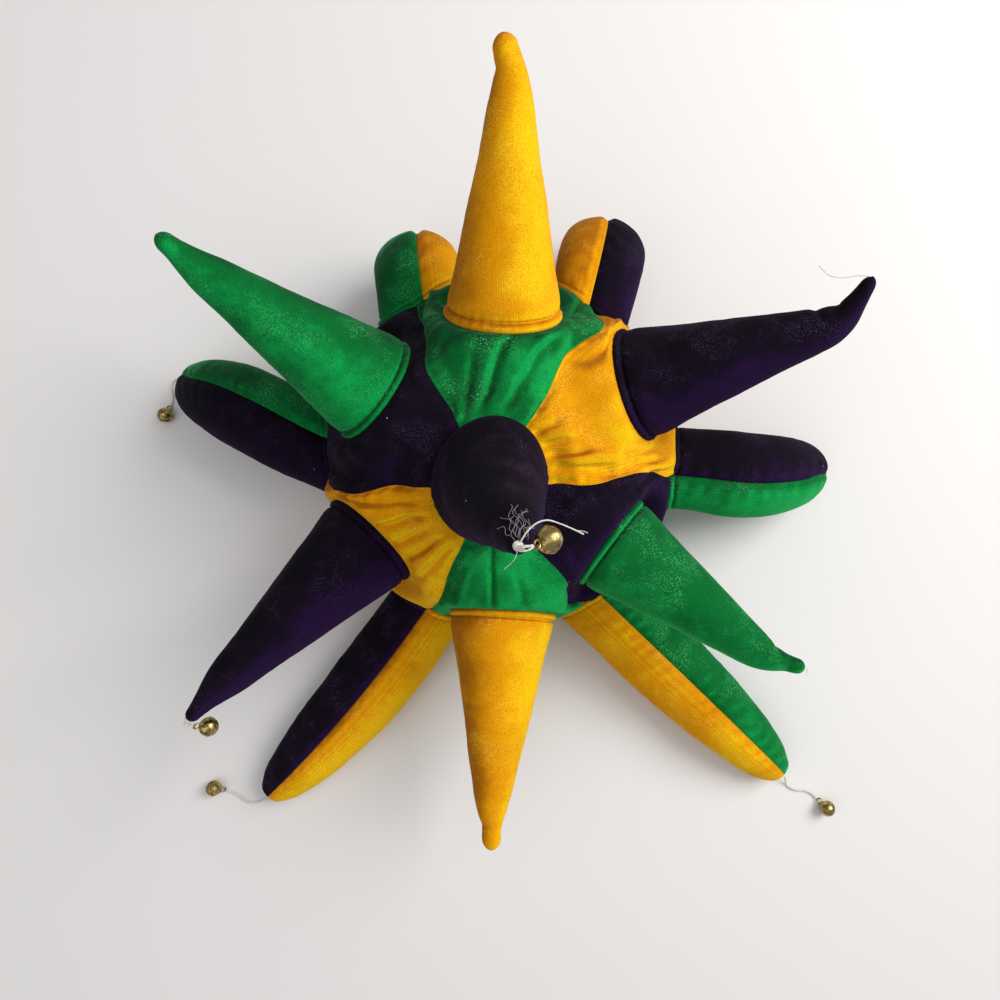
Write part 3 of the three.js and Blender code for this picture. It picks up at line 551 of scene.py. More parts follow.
def hornFrame(horn):
    base = outward(horn["hour"]) * horn["ring"] * crownForm["radius"]
    base[2] = horn["height"] * crownForm["height"]
    rise = math.radians(horn["rise"])
    axis = outward(horn["heading"]) * math.cos(rise)
    axis[2] = math.sin(rise)
    side = outward(horn["heading"] + 3)
    return {"base": base, "axis": axis, "side": side, "up": np.cross(side, axis)}


seats = [hornFrame(horn) for horn in horns]
seamHours = np.array([row[1] for row in panels])
seamBows = np.array([row[2] for row in panels])


def domeReach(lift):
    # from the middle of the widest ring to the bare dome: a superellipse above and below it
    f = crownForm
    n = f["roundness"]
    skirt = f["wideHeight"] / (1 - (f["hemRadius"] / f["radius"]) ** n) ** (1 / n)
    depth = np.where(lift < 0, skirt, f["height"] - f["wideHeight"])
    return (np.abs(np.cos(lift) / f["radius"]) ** n + np.abs(np.sin(lift) / depth) ** n) ** (-1 / n)


def foldHeight(hour, lift, folds):
    # the sum of ridges along straight lines between two places, each a bell-shaped hill across the
    # line that fades towards its ends
    reach = domeReach(lift)
    perHour = np.radians(30) * reach * np.cos(lift)
    perDegree = np.radians(1) * reach
    height = np.zeros_like(lift)
    for fromHour, fromLift, toHour, toLift, width, tall in folds:
        x = ((hour - fromHour + 30) % 12 - 6) * perHour
        y = (np.degrees(lift) - fromLift) * perDegree
        dx, dy = (toHour - fromHour) * perHour, (toLift - fromLift) * perDegree
        t = np.clip((x * dx + y * dy) / (dx * dx + dy * dy), 0, 1)
        away = np.hypot(x - t * dx, y - t * dy)
        fade = smooth(t, 0, crownForm["foldFade"]) * smooth(1 - t, 0, crownForm["foldFade"])
        height += tall * bump(away, 0, width) * fade
    return height


def puffOf(hour):
    # a panel bulges between its two seams as 1 - x², with x from -1 to 1 across it
    turned = (np.asarray(hour)[..., None] - seamHours + 24) % 12
    i = np.argmin(turned, axis=-1)
    span = (np.roll(seamHours, -1) - seamHours + 12) % 12
    across = 2 * np.min(turned, axis=-1) / span[i] - 1
    return crownForm["puff"] * (1 - across**2)


def crownPoint(hour, lift):
    # reach = dome + puff + folds, slumped by the square of its height, then pressed onto the plane
    # under each horn
    f = crownForm
    reach = domeReach(lift) + puffOf(hour) * np.cos(lift) + foldHeight(hour, lift, crownFolds)
    p = outward(hour) * (reach * np.cos(lift))[..., None]
    p[..., 2] = f["wideHeight"] + reach * np.sin(lift)
    low = np.maximum(0, (p[..., 2] - f["wideHeight"]) / (f["height"] - f["wideHeight"])) ** 2
    p[..., 0] += f["slump"][0] * low
    p[..., 1] += f["slump"][1] * low
    for seat in seats:
        off = p - seat["base"]
        above = off @ seat["axis"]
        away = np.sqrt(np.maximum(0, (off**2).sum(-1) - above**2))
        near = np.where(above > -f["height"] / 2, 1 - smooth(away, f["seatFlat"], f["seatFade"]), 0)
        p = p - (above * near)[..., None] * seat["axis"]
    return p


def crownFacing(hour, lift):
    up = crownPoint(hour, lift + 0.009) - crownPoint(hour, lift - 0.009)
    sideways = crownPoint(hour + 0.02, lift) - crownPoint(hour - 0.02, lift)
    return unit(np.cross(up, sideways))


def seamsAt(lift):
    # the hour of each seam at that height: its own, and its bow times a hill round 50 degrees up
    return seamHours + seamBows * bump(np.degrees(lift), 50, 22)[..., None]


def crownDetail(hour, lift, p):
    # what the fine surface adds along its normal: seams that lie low and pucker, creases, pulls
    # round each horn's seat, and unevenness
    f = crownForm
    reach = domeReach(lift)
    toSeam = np.abs((hour[..., None] - seamsAt(lift) + 30) % 12 - 6).min(-1)
    toSeam = toSeam * np.radians(30) * reach * np.cos(lift)
    along = lift * reach
    detail = -f["seamDip"] * bump(toSeam, 0, f["seamWidth"])
    pucker = np.sin(2 * np.pi * along / f["puckerPitch"] + 3 * noise(p, 25, 3))
    detail = detail + f["pucker"] * pucker * bump(toSeam, 0, f["puckerReach"]) * smooth(toSeam, 0, 1.5)
    detail = detail + f["creasing"] * foldHeight(hour, lift, crownCreases)
    detail = detail + f["sag"] * noise(p, f["sagSize"], 1) + f["crumple"] * noise(p, f["crumpleSize"], 2)
    detail = detail - f["stitchDip"] * bump(along, crownStitch, f["stitchWidth"])
    free = np.ones_like(lift)
    for k, seat in enumerate(seats):
        off = p - seat["base"]
        above = off @ seat["axis"]
        flat = off - above[..., None] * seat["axis"]
        away = np.linalg.norm(flat, axis=-1)
        turn = np.arctan2(flat @ seat["up"], flat @ seat["side"])
        here = (np.abs(above) < 40) * bump(away, f["seatPuckerAt"], f["seatPuckerWidth"])
        ripple = np.sin(turn * f["seatPuckers"] + 4 * noise(p, 22, 5 + k))
        detail = detail + f["seatPucker"] * here * ripple
        free = free * np.where(np.abs(above) < 30, smooth(away, f["seatHidden"], f["seatShown"]), 1)
    return detail * free


hemLift = math.atan2(-crownForm["wideHeight"], crownForm["hemRadius"])
topLift = math.atan2(crownForm["height"] - crownForm["wideHeight"], crownForm["topHole"])
crownStitch = hemLift * crownForm["radius"] + crownForm["hemDepth"]  # how far up the cloth it runs


def makePanel(index):
    # outer surface over hour by lift, an inner one a wall's thickness below it, and walls between
    # their edges
    f = crownForm
    node, start, _, colour = panels[index]
    across = 0.5 - 0.5 * np.cos(np.linspace(0, np.pi, f["columns"]))
    across = 0.65 * across + 0.35 * np.linspace(0, 1, f["columns"])  # closer together at the seams
    lifts = np.linspace(hemLift, topLift, f["rows"])
    starts, ends = seamsAt(lifts)[:, index], seamsAt(lifts)[:, (index + 1) % len(panels)]
    lift = np.repeat(lifts[:, None], len(across), axis=1)
    hour = starts[:, None] + ((ends - starts + 12) % 12)[:, None] * across
    base, facing = crownPoint(hour, lift), crownFacing(hour, lift)
    outer = base + facing * crownDetail(hour, lift, base)[..., None]
    depth = np.where(lifts < hemLift + f["hemDepth"] / f["radius"], f["hemWall"], f["wall"])
    depth = np.convolve(np.pad(depth, 2, mode="edge"), np.ones(5) / 5, "valid")
    inner = outer - facing * depth[:, None, None]
    rows, columns = lift.shape
    points = np.vstack([outer.reshape(-1, 3), inner.reshape(-1, 3)])
    number = np.arange(rows * columns).reshape(rows, columns)
    rim = np.concatenate([number[0], number[1:, -1], number[-1, -2::-1], number[-2:0:-1, 0]])
    after = np.roll(rim, -1)
    cells = quads(rows, columns)
    faces = outwards(points, [cells, cells[:, ::-1] + rows * columns,
                              np.stack([after, rim, rim + rows * columns, after + rows * columns], -1)])
    sideways = (hour - start) * np.radians(30) * f["radius"] * f["meanWidth"]
    metres = np.stack([sideways, lift * domeReach(lift)], -1) / 1000
    uv = np.vstack([metres.reshape(-1, 2)] * 2)
    piece = makeMesh(f"velvet_{node}", onSurface(points), faces, velvets[colour], uv)
    place(piece, node, f"velvet_{colour}")


for i in range(len(panels)):
    makePanel(i)
print("crown made")


# horns

def hornMiddle(horn, seat, along):
    length = horn["length"] * hornForm["length"]
    low, high = hornForm["curlFrom"], hornForm["curlTo"]
    curl = smooth(along, low, high) / smooth(1.0, low, high)
    tip, low, high = hornTips[horn["node"]], hornForm["tipFrom"], hornForm["tipTo"]
    end = smooth(along, low, high) / smooth(1.0, low, high)
    return (seat["base"] + (along * length + end * tip["reach"])[..., None] * seat["axis"]
            + (curl * horn["curlSide"] * length + end * tip["hook"])[..., None] * seat["side"]
            + (curl * horn["curlUp"] * length)[..., None] * seat["up"])


def hornWidth(horn, along):
    # the radius there: the profile, closed at the tip by a half circle
    rows = hornProfile + hornTips[horn["node"]]["profile"]
    girth = horn["girth"] * hornForm["radius"]
    cap = rows[-1][1] * girth / (horn["length"] * hornForm["length"])
    closing = np.clip((along - 1 + cap) / cap, 0, 0.995)
    return curveTable(rows, 1, np.clip(along, 0, 1)) * girth * np.sqrt(1 - closing**2)


def hornAxes(horn, seat, along):
    # the middle line, and the ways to the horn's clockwise side and its upper side
    middle = hornMiddle(horn, seat, along)
    ahead = unit(hornMiddle(horn, seat, along + 0.01) - hornMiddle(horn, seat, along - 0.01))
    up = unit(np.cross(np.broadcast_to(seat["side"], ahead.shape), ahead))
    return middle, unit(np.cross(ahead, up)), up


def makeHorn(horn, seat):
    # circles round a curled middle line; radius = profile + rolled edge + dents + unevenness
    f = hornForm
    length, girth = horn["length"] * f["length"], horn["girth"] * f["radius"]
    edge = np.linspace(-f["seat"], f["rimEnd"], f["rimRows"])  # close together over the rolled edge
    body = np.linspace(f["rimEnd"], length * (1 - f["tipShare"]), f["bodyRows"])[1:]
    tip = length * (1 - f["tipShare"] * np.cos(np.linspace(0, np.pi / 2, f["tipRows"]))[1:])
    s = np.concatenate([edge, body, tip])
    along = s / length
    angle = np.linspace(0, 2 * np.pi, f["columns"], endpoint=False)
    middle, across, up = hornAxes(horn, seat, along)
    out = (across[:, None] * np.cos(angle)[:, None] + up[:, None] * np.sin(angle)[:, None])
    radius = hornWidth(horn, along)
    ring = np.broadcast_to(radius[:, None], out.shape[:2])
    p = middle[:, None] + out * ring[..., None]
    # rolled edge: half an oval of the roll's height, then the groove of its seam
    tall = f["roll"] * (0.42 + 0.3 * horn["rim"])
    roll = np.sqrt(np.clip(1 - ((s - 0.8 * tall) / tall) ** 2, 0, 1)) * f["roll"] * horn["rim"] * 0.62
    groove = 0.4 * bump(s, 2.05 * tall + 5, 4) - f["grooveDip"] * bump(s, 2.05 * tall, f["grooveWidth"])
    detail = roll[:, None] * (1 + 0.5 * noise(p, 26, 11)) + groove[:, None]
    ripple = np.sin(angle * f["rimPuckers"] + 5 * noise(p, 30, 12)) * bump(s, 1.9 * tall, 3.4)[:, None]
    detail = detail + f["rimPucker"] * ripple
    fade = smooth(s, 5, 14)[:, None] * np.clip(radius / 14, 0.15, 1)[:, None]
    uneven = f["wave"] * noise(p, f["waveSize"], 13) + f["grainy"] * noise(p, f["grainSize"], 14)
    detail = detail + fade * uneven
    seam = (angle + np.pi / 2 + np.pi) % (2 * np.pi) - np.pi  # along the underside
    detail = detail - f["seamDip"] * bump(seam * ring, 0, f["seamWidth"]) * smooth(s, 4, 12)[:, None]
    for at, turn, longWays, roundWays, depth, skew in hornDents[horn["node"]]:
        x = s[:, None] - at * length
        y = ((angle - math.radians(turn) + np.pi) % (2 * np.pi) - np.pi) * ring
        x, y = x + skew * y, y - skew * x
        detail = detail - depth * np.exp(-(x / longWays) ** 2 - (y / roundWays) ** 2)
    near = np.clip(radius / 5, 0, 1)[:, None]
    p = p + out * (detail * near)[..., None]
    rows, columns = ring.shape
    points = np.vstack([p.reshape(-1, 3), p[0].mean(0), middle[-1]])
    first, last = np.arange(columns), np.arange(columns) + (rows - 1) * columns
    faces = outwards(points, [quads(rows, columns, wrap=True), fan(first[::-1], rows * columns),
                              fan(last, rows * columns + 1)])
    metres = np.stack(np.broadcast_arrays(s[:, None], angle * girth), -1)[..., ::-1] / 1000
    uv = np.vstack([metres.reshape(-1, 2), metres[0, 0], metres[-1, 0]])
    piece = makeMesh(f"velvet_{horn['node']}", onSurface(points), faces, velvets[horn["colour"]], uv)
    place(piece, horn["node"], f"velvet_{horn['colour']}")


for horn, seat in zip(horns, seats):
    makeHorn(horn, seat)
print("horns made")


# points

pointForm = {
    "length": 168, "width": 50, "thick": 38, "roll": 2.2, "rootHeight": 25, "rootDepth": 14,
    "settle": 0.86, "tipSettle": 0.45,
    "steps": 700,  # along its middle line
    "rows": 150, "columns": 56,
    "seamDip": 1.9, "seamWidth": 2.6, "pucker": 0.38, "puckerPitch": 9, "puckerReach": 9,
    "seamGap": 0.02,  # between a half and the plane of the seam
    "wave": 0.6, "waveSize": 20, "grainy": 0.14, "grainSize": 4.5,
}

# a point's way: out and sideways as shares of its length, and down from its root to lying
pointWays = {
    "lying": [(0, 0, 0), (0.12, 0, 0.25), (0.3, 0, 0.85), (0.5, 0, 1), (0.75, 0, 1), (1, 0, 1)],
    "arched": [(0, 0, 0), (0.2, 0, -0.16), (0.4, 0.01, -0.14), (0.57, 0.01, 0.16), (0.7, 0, 0.64),
               (0.81, 0, 1)],
    "folded": [(0, 0, 0), (0.19, 0, 0.04), (0.32, 0, 0.24), (0.37, 0, 0.55), (0.32, 0, 0.86),
               (0.19, 0, 0.98), (0.02, 0, 1)],
}

# name, hour of the root, heading, way, length, bend, degrees that its seam is rolled clockwise, and
# the colours before and after the seam
pointRows = [
    ("point_back_right", 1.08, 0.45, "folded", 0.9, 0, -4, "gold", "purple"),
    ("point_right", 3.1, 2.97, "arched", 0.84, 0.03, 14, "purple", "green"),
    ("point_front_right", 4.92, 4.43, "lying", 1.1, 0, -5, "green", "gold"),
    ("point_front_left", 6.78, 7.3, "lying", 1.05, -0.025, 0, "gold", "purple"),
    ("point_left", 8.92, 9.8, "arched", 0.92, 0, 14, "purple", "green"),
    ("point_back_left", 10.95, 11.7, "folded", 0.71, 0, 8, "green", "gold"),
]

# along a point: how wide and how thick it is
pointProfile = [
    (0, 0.96, 1), (0.3, 1, 1), (0.5, 0.95, 0.96), (0.68, 0.83, 0.85), (0.82, 0.68, 0.7),
    (0.92, 0.51, 0.54), (0.975, 0.33, 0.38), (1, 0.24, 0.28),
]


def pointLine(row, count):
    # the middle line of a point over the surface, before the shift, and its length
    _, hour, heading, way, share, bend, *_ = row
    f = pointForm
    root = outward(hour) * (crownForm["radius"] - f["rootDepth"])
    root[2] = f["rootHeight"]
    root = onSurface(root) - np.array([*hat["shift"], 0])
    length, lying = share * f["length"], f["thick"] / 2 * f["settle"]
    places = []
    for k, (out, side, down) in enumerate(pointWays[way]):
        bow = bend * math.sin(math.pi * out / pointWays[way][-1][0])
        end = f["tipSettle"] if k == len(pointWays[way]) - 1 else 1
        p = root + outward(heading) * out * length + outward(heading + 3) * (side + bow) * length
        p[2] = root[2] + (lying * end - root[2]) * down
        places.append(p)
    return spline(places, count)


def crownReach(p):
    # how far a place of the surface's frame lies outside the crown, below zero inside it
    q = offSurface(p + np.array([*hat["shift"], 0])) - [0, 0, crownForm["wideHeight"]]
    hour = (90 - np.degrees(np.arctan2(q[..., 1], q[..., 0]))) / 30
    lift = np.arctan2(q[..., 2], np.hypot(q[..., 0], q[..., 1]))
    wall = crownPoint(hour, np.clip(lift, hemLift, topLift)) - [0, 0, crownForm["wideHeight"]]
    return np.linalg.norm(q, axis=-1) - np.linalg.norm(wall, axis=-1)


def makeHalfPoint(row, sign, colour):
    # half ovals along the point's line, from the crown's wall to the tip. Its cloth dips into the
    # seam with the other half, and it lies flat on the surface below.
    name, _, heading, _, _, _, rolled, *_ = row
    f = pointForm
    fine, total = pointLine(row, f["steps"])
    ahead = unit(np.gradient(fine, axis=0))
    level = np.stack([ahead[:, 1], -ahead[:, 0], np.zeros(len(ahead))], -1)
    forwards = ahead @ outward(heading)
    level = level * np.where(forwards < 0, -1, 1)[:, None]
    steep = np.linalg.norm(level, axis=-1, keepdims=True) < 0.12
    side = unit(np.where(steep, outward(heading + 3), level))
    up = unit(np.cross(side, ahead))
    skew = math.radians(rolled)
    angle = np.pi * (0.5 - np.linspace(0, 1, f["columns"])) - sign * skew
    start = (f["rootDepth"] + 3.4 * f["roll"]) / total

    def section(t, column):
        # a place at share t of the line, at the angle of that column
        share = np.linspace(0, 1, len(fine))
        at = [np.interp(t, share, line[:, k]) for line in (fine, side, up) for k in range(3)]
        middle, out, high = (np.stack(at[i:i + 3], -1) for i in (0, 3, 6))
        where = np.clip((t - start) / (1 - start), 0, 1)
        closing = np.sqrt(np.maximum(1 - np.clip((where - 0.97) / 0.03, 0, 1) ** 2, 0))
        wide = curveTable(pointProfile, 1, where) * f["width"] / 2 * closing
        thick = curveTable(pointProfile, 2, where) * f["thick"] / 2 * closing
        return middle, out, high, wide, thick, angle[column], where

    # where each column leaves the crown
    t = np.linspace(0, 0.4, 160)
    grid, column = np.meshgrid(t, np.arange(f["columns"]), indexing="ij")
    middle, out, high, wide, thick, turn, _ = section(grid, column)
    p = (middle + out * (sign * np.cos(turn) * wide)[..., None] + high * (np.sin(turn) * thick)[..., None])
    outside = crownReach(p) > 0
    first = np.argmax(outside, axis=0)
    leaves = t[first] - 1.4 / total

    rows = f["rows"]
    even = np.linspace(0, 1, rows)
    run = 0.7 * even + 0.3 * np.sin(even * np.pi / 2)  # closer together near the tip
    run = run * (0.35 + 0.65 * even ** 0.6)  # and near the root
    grid = leaves[None] + (1 - leaves[None]) * run[:, None]
    column = np.broadcast_to(np.arange(f["columns"]), grid.shape)
    middle, out, high, wide, thick, turn, where = section(grid, column)
    s = (grid - leaves) * total
    tall = f["roll"] * 0.8
    roll = np.sqrt(np.clip(1 - ((s - 0.9 * tall) / tall) ** 2, 0, 1)) * f["roll"] * 0.55
    roll = roll - 0.8 * bump(s, 2.1 * tall, 0.8)
    x, y = sign * np.cos(turn) * wide, np.sin(turn) * thick
    # the seam's plane holds the middle line and is rolled with the section
    acrossSeam = np.stack([math.cos(skew) * thick, -math.sin(skew) * wide], -1)
    acrossSeam = acrossSeam / np.maximum(np.linalg.norm(acrossSeam, axis=-1, keepdims=True), 1e-6)
    toSeam = sign * (x * acrossSeam[..., 0] + y * acrossSeam[..., 1])
    seamWay = out * acrossSeam[..., :1] + high * acrossSeam[..., 1:]
    base = middle + out * x[..., None] + high * y[..., None]
    facing = unit(out * (x / np.maximum(wide, 0.01) * thick)[..., None]
                  + high * (y / np.maximum(thick, 0.01) * wide)[..., None])
    small = np.clip(thick / 12, 0, 1)
    dip = f["seamDip"] * bump(toSeam, 0, f["seamWidth"]) * (1 - 0.8 * smooth(where, 0.7, 0.96))
    pucker = np.sin(2 * np.pi * s / f["puckerPitch"] + 4 * noise(base, 30, 21))
    pucker = pucker * bump(toSeam, 0, f["puckerReach"])
    free = smooth(toSeam, 0, 3) * small
    uneven = f["pucker"] * pucker + f["wave"] * noise(base, f["waveSize"], 22)
    detail = roll - dip * small + uneven * free
    detail = detail + small * f["grainy"] * noise(base, f["grainSize"], 23)
    p = base + facing * detail[..., None]
    edge = toSeam < f["seamGap"]  # the two columns that lie in the seam's plane
    offPlane = ((p - middle) * seamWay).sum(-1) - f["seamGap"] * sign
    p = np.where(edge[..., None], p - seamWay * offPlane[..., None], p)
    p[..., 2] = 0.5 * (p[..., 2] + np.sqrt(p[..., 2] ** 2 + 0.36))  # never below the surface
    columns = f["columns"]
    points = np.vstack([p.reshape(-1, 3), p[0].mean(0), p[-1].mean(0)])
    firstRow, lastRow = np.arange(columns), np.arange(columns) + (rows - 1) * columns
    faces = outwards(points, [quads(rows, columns, wrap=True), fan(firstRow[::-1], rows * columns),
                              fan(lastRow, rows * columns + 1)])
    metres = np.stack([(1 - np.sin(turn)) * 22, s], -1) / 1000
    uv = np.vstack([metres.reshape(-1, 2), metres[0, 0], metres[-1, 0]])
    node = f"{name}_{colour}"
    piece = makeMesh(f"velvet_{node}", onSurface(points, shiftOnly=True), faces, velvets[colour], uv)
    place(piece, node, f"velvet_{colour}")


for row in pointRows:
    makeHalfPoint(row, -1, row[7])
    makeHalfPoint(row, 1, row[8])
print("points made")


# bells and threads

bellForm = {
    "radius": 4.8, "wall": 0.5, "slot": 7, "slotEnd": 62,  # the slot's half width and reach, degrees
    "hole": 1.0,  # how much wider the slot's round ends are
    "ridge": 0.28, "ring": 1.5, "wire": 0.45, "clapper": 1.7,
    "rows": 96, "halfColumns": 26,  # round its poles, and from a pole to the slot
}

threadForm = {
    "radius": 0.6, "rest": 0.8, "gap": 0.3,
    "tieBend": 2.2, "tieLength": 1.5,  # how round a tie bends, and how far it runs on to the bell
    "strand": 0.25, "strands": 6, "wound": 1.9,  # what a tie is made of
    "fray": 0.1,
    "steps": 170, "sides": 18,  # of a loose thread
}


def tube(line, radius, sides, ripple=None):
    # circles square to a line, measured from one fixed direction; ripple(angle, length) scales them
    ahead = unit(np.gradient(line, axis=0))
    level = np.linalg.svd(ahead)[2][-1]  # the direction that the line runs across the most
    normal = unit(np.cross(ahead, level))
    across = np.cross(ahead, normal)
    angle = np.linspace(0, 2 * np.pi, sides, endpoint=False)
    s = np.concatenate([[0], np.cumsum(np.linalg.norm(np.diff(line, axis=0), axis=1))])
    wide = np.asarray(radius) * np.ones(len(line))
    scale = wide[:, None] * (ripple(angle[None], s[:, None]) if ripple else np.ones((1, sides)))
    out = normal[:, None] * np.cos(angle)[:, None] + across[:, None] * np.sin(angle)[:, None]
    ring = line[:, None] + out * scale[..., None]
    points = np.vstack([ring.reshape(-1, 3), line[:1], line[-1:]])
    first, last = np.arange(sides), np.arange(sides) + (len(line) - 1) * sides
    faces = outwards(points, [quads(len(line), sides, wrap=True), fan(first[::-1], len(points) - 2),
                              fan(last, len(points) - 1)])
    return points, faces


def twist(strands, depth, pitch):
    # the cross-section of a twisted thread: one lobe for each strand, turning once per pitch
    return lambda angle, s: 1 - depth + depth * np.abs(np.cos(strands / 2 * (angle + 2 * np.pi * s / pitch)))


def wound(depth, pitch):
    # turns of thread wound round a core
    return lambda angle, s: 1 - depth + depth * np.abs(np.sin(np.pi * (s / pitch + angle / (2 * np.pi))))


def wrapped(rows, columns):
    # the cells of a grid that closes both ways
    i, j = np.meshgrid(np.arange(rows), np.arange(columns), indexing="ij")
    after, beside = (i + 1) % rows * columns, (j + 1) % columns
    return np.stack([i * columns + j, i * columns + beside, after + beside, after + j], -1).reshape(-1, 4)


def bellBall():
    # a thin ball with a ridge round its middle and a slot below it that ends in two holes. Its poles
    # lie beside the slot, so that the slot's edges follow rows.
    f = bellForm
    half, reach = f["halfColumns"], 90 - f["slot"]
    ramp = np.linspace(0, 1, half)
    beta = np.radians(np.concatenate([-90 + reach * ramp, [0], 90 - reach * ramp[::-1]]))
    turn = np.radians(np.linspace(0, 360, f["rows"], endpoint=False))
    lam, b = np.meshgrid(turn, beta, indexing="ij")
    fromBottom = np.degrees(np.abs((lam + np.pi) % (2 * np.pi) - np.pi))
    widening = f["hole"] * bump(fromBottom, f["slotEnd"], 6) * bump(np.degrees(np.abs(b)), f["slot"], 12)
    b = b + np.sign(b) * np.radians(f["slot"]) * widening
    q = np.stack([np.sin(lam) * np.cos(b), np.sin(b), -np.cos(lam) * np.cos(b)], -1)
    radius = f["radius"] + f["ridge"] * bump(q[..., 2] * f["radius"], 0, 0.35)
    body = np.vstack([(q * thick[..., None]).reshape(-1, 3) for thick in (radius, radius - f["wall"])])
    rows, columns = lam.shape
    i, j = np.meshgrid(np.arange(rows), np.arange(columns - 1), indexing="ij")
    k = (i + 1) % rows
    cut = (fromBottom[i, j] < f["slotEnd"] + 5) & (fromBottom[k, j] < f["slotEnd"] + 5)
    cut &= (j >= half - 1) & (j <= half)
    cells = np.stack([i * columns + j, k * columns + j, k * columns + j + 1, i * columns + j + 1], -1)
    kept = cells[~cut]
    # walls of the slot: from each edge that only one kept cell uses
    sides = np.concatenate([kept[:, [0, 1]], kept[:, [1, 2]], kept[:, [2, 3]], kept[:, [3, 0]]])
    key = np.sort(sides, axis=1)
    pole = (key % columns == 0).all(1) | (key % columns == columns - 1).all(1)
    _, first, count = np.unique(key[~pole], axis=0, return_index=True, return_counts=True)
    lone = sides[~pole][first[count == 1]]
    size = rows * columns
    walls = np.stack([lone[:, 1], lone[:, 0], lone[:, 0] + size, lone[:, 1] + size], -1)
    return body, outwards(body, [kept, kept[:, ::-1] + size, walls])


def bellRing(turns=24, sides=10):
    # a wire bent to a ring: a circle carried round a circle
    f = bellForm
    u, v = np.meshgrid(np.linspace(0, 2 * np.pi, turns, endpoint=False),
                       np.linspace(0, 2 * np.pi, sides, endpoint=False), indexing="ij")
    away = f["ring"] + f["wire"] * np.cos(v)
    points = np.stack([away * np.cos(u), f["wire"] * np.sin(v), away * np.sin(u)], -1).reshape(-1, 3)
    points[:, 2] += f["radius"] + f["ring"] - f["wire"] / 2
    return points, outwards(points, [wrapped(turns, sides)])


def bellClapper(rings=12, sides=18):
    # a ball that lies just above the bottom of the shell
    f = bellForm
    around = np.linspace(0, 2 * np.pi, sides, endpoint=False)
    polar, turn = np.meshgrid(np.linspace(0.12, np.pi - 0.12, rings), around, indexing="ij")
    ball = np.stack([np.sin(polar) * np.cos(turn), np.sin(polar) * np.sin(turn), np.cos(polar)], -1)
    ball = np.vstack([ball.reshape(-1, 3), [[0, 0, 1], [0, 0, -1]]]) * f["clapper"]
    ball[:, 2] -= f["radius"] - f["wall"] - f["clapper"] - 0.1
    first, size = np.arange(sides), rings * sides
    return ball, outwards(ball, [quads(rings, sides, wrap=True), fan(first[::-1], size),
                                 fan(first + size - sides, size + 1)])


bellPoints, bellFaces = join([bellBall(), bellRing(), bellClapper()])
bellReach = bellForm["radius"] + 2 * bellForm["ring"] + bellForm["wire"] / 2


def makeBell(name, node, top, way, tipped):
    # the ring's outer edge at top, and the ball's middle the way that the direction gives
    back = -unit(way)
    level = unit(np.array([-back[1], back[0], 0]))
    basis = np.stack([level, np.cross(back, level), back])
    points = bellPoints @ basis - back * bellReach + top
    piece = makeMesh(name, onSurface(points, shiftOnly=not tipped), bellFaces, brass)
    return place(piece, node, "bell_brass")


hornOf = {horn["node"]: (horn, seat) for horn, seat in zip(horns, seats)}
tiedBells = [("top", "top_horn_purple", (0.7, 0.1, -0.75)), ("left", "horn_purple_left", (0.72, -0.35, -0.6))]


def tieLine(tip, ahead, way):
    # a round bend from the horn's tip to the bell's way, and a straight end
    f = threadForm
    aside = unit(way - ahead * (ahead @ way))
    angle = np.linspace(0, math.acos(ahead @ way), 7)[:, None]
    forwards, sideways = f["tieBend"] * np.sin(angle), f["tieBend"] * (1 - np.cos(angle))
    bend = tip + ahead * (f["gap"] + forwards) + aside * sideways
    return spline(np.vstack([bend, bend[-1] + way * f["tieLength"]]), 60)[0]


def makeTie(name, tip, ahead, way, line):
    # thread wound round the tip, strands that bulge apart round the tie's line, and a knot
    f = threadForm
    level = unit(np.cross(ahead, way))
    over = np.cross(level, unit(np.gradient(line, axis=0)))
    t = np.linspace(0, 1, len(line))
    core, _ = spline([tip - ahead * 1.8, tip - ahead * 0.2, tip + ahead * 1.3], 40)
    swell = np.sin(np.linspace(0.45, 2.85, 40)) ** 0.6
    parts = [tube(core, f["wound"] * swell, 28, wound(0.2, 0.7))]
    for k in range(f["strands"]):
        turned = 2 * np.pi * (k + 0.3) / f["strands"] + 1.8 * t
        bulge = 0.35 + (0.75 + 0.4 * math.sin(2.4 * k)) * np.sin(np.pi * t)
        apart = level * np.cos(turned)[:, None] + over * np.sin(turned)[:, None]
        parts.append(tube(line + apart * bulge[:, None], f["strand"], 8, twist(2, 0.25, 1.5)))
    knot, _ = spline([line[-1] - way * 1.5, line[-1] - way * 0.6, line[-1] + way * 0.25], 16)
    parts.append(tube(knot, 0.85 * np.sin(np.linspace(0.5, 2.6, 16)), 14, wound(0.25, 0.6)))
    points, faces = join(parts)
    piece = makeMesh(f"tie_{name}", onSurface(points), faces, thread)
    place(piece, f"bell_tie_{name}", "thread_white")


for name, node, way in tiedBells:
    horn, seat = hornOf[node]
    tip = hornMiddle(horn, seat, np.array(1.0))
    ahead = unit(tip - hornMiddle(horn, seat, np.array(0.99)))
    way = unit(np.array(way, float))
    line = tieLine(tip, ahead, way)
    makeTie(name, tip, ahead, way, line)
    makeBell(f"jingle_bell_{name}", f"bell_{name}", line[-1] + way * threadForm["gap"], way, True)

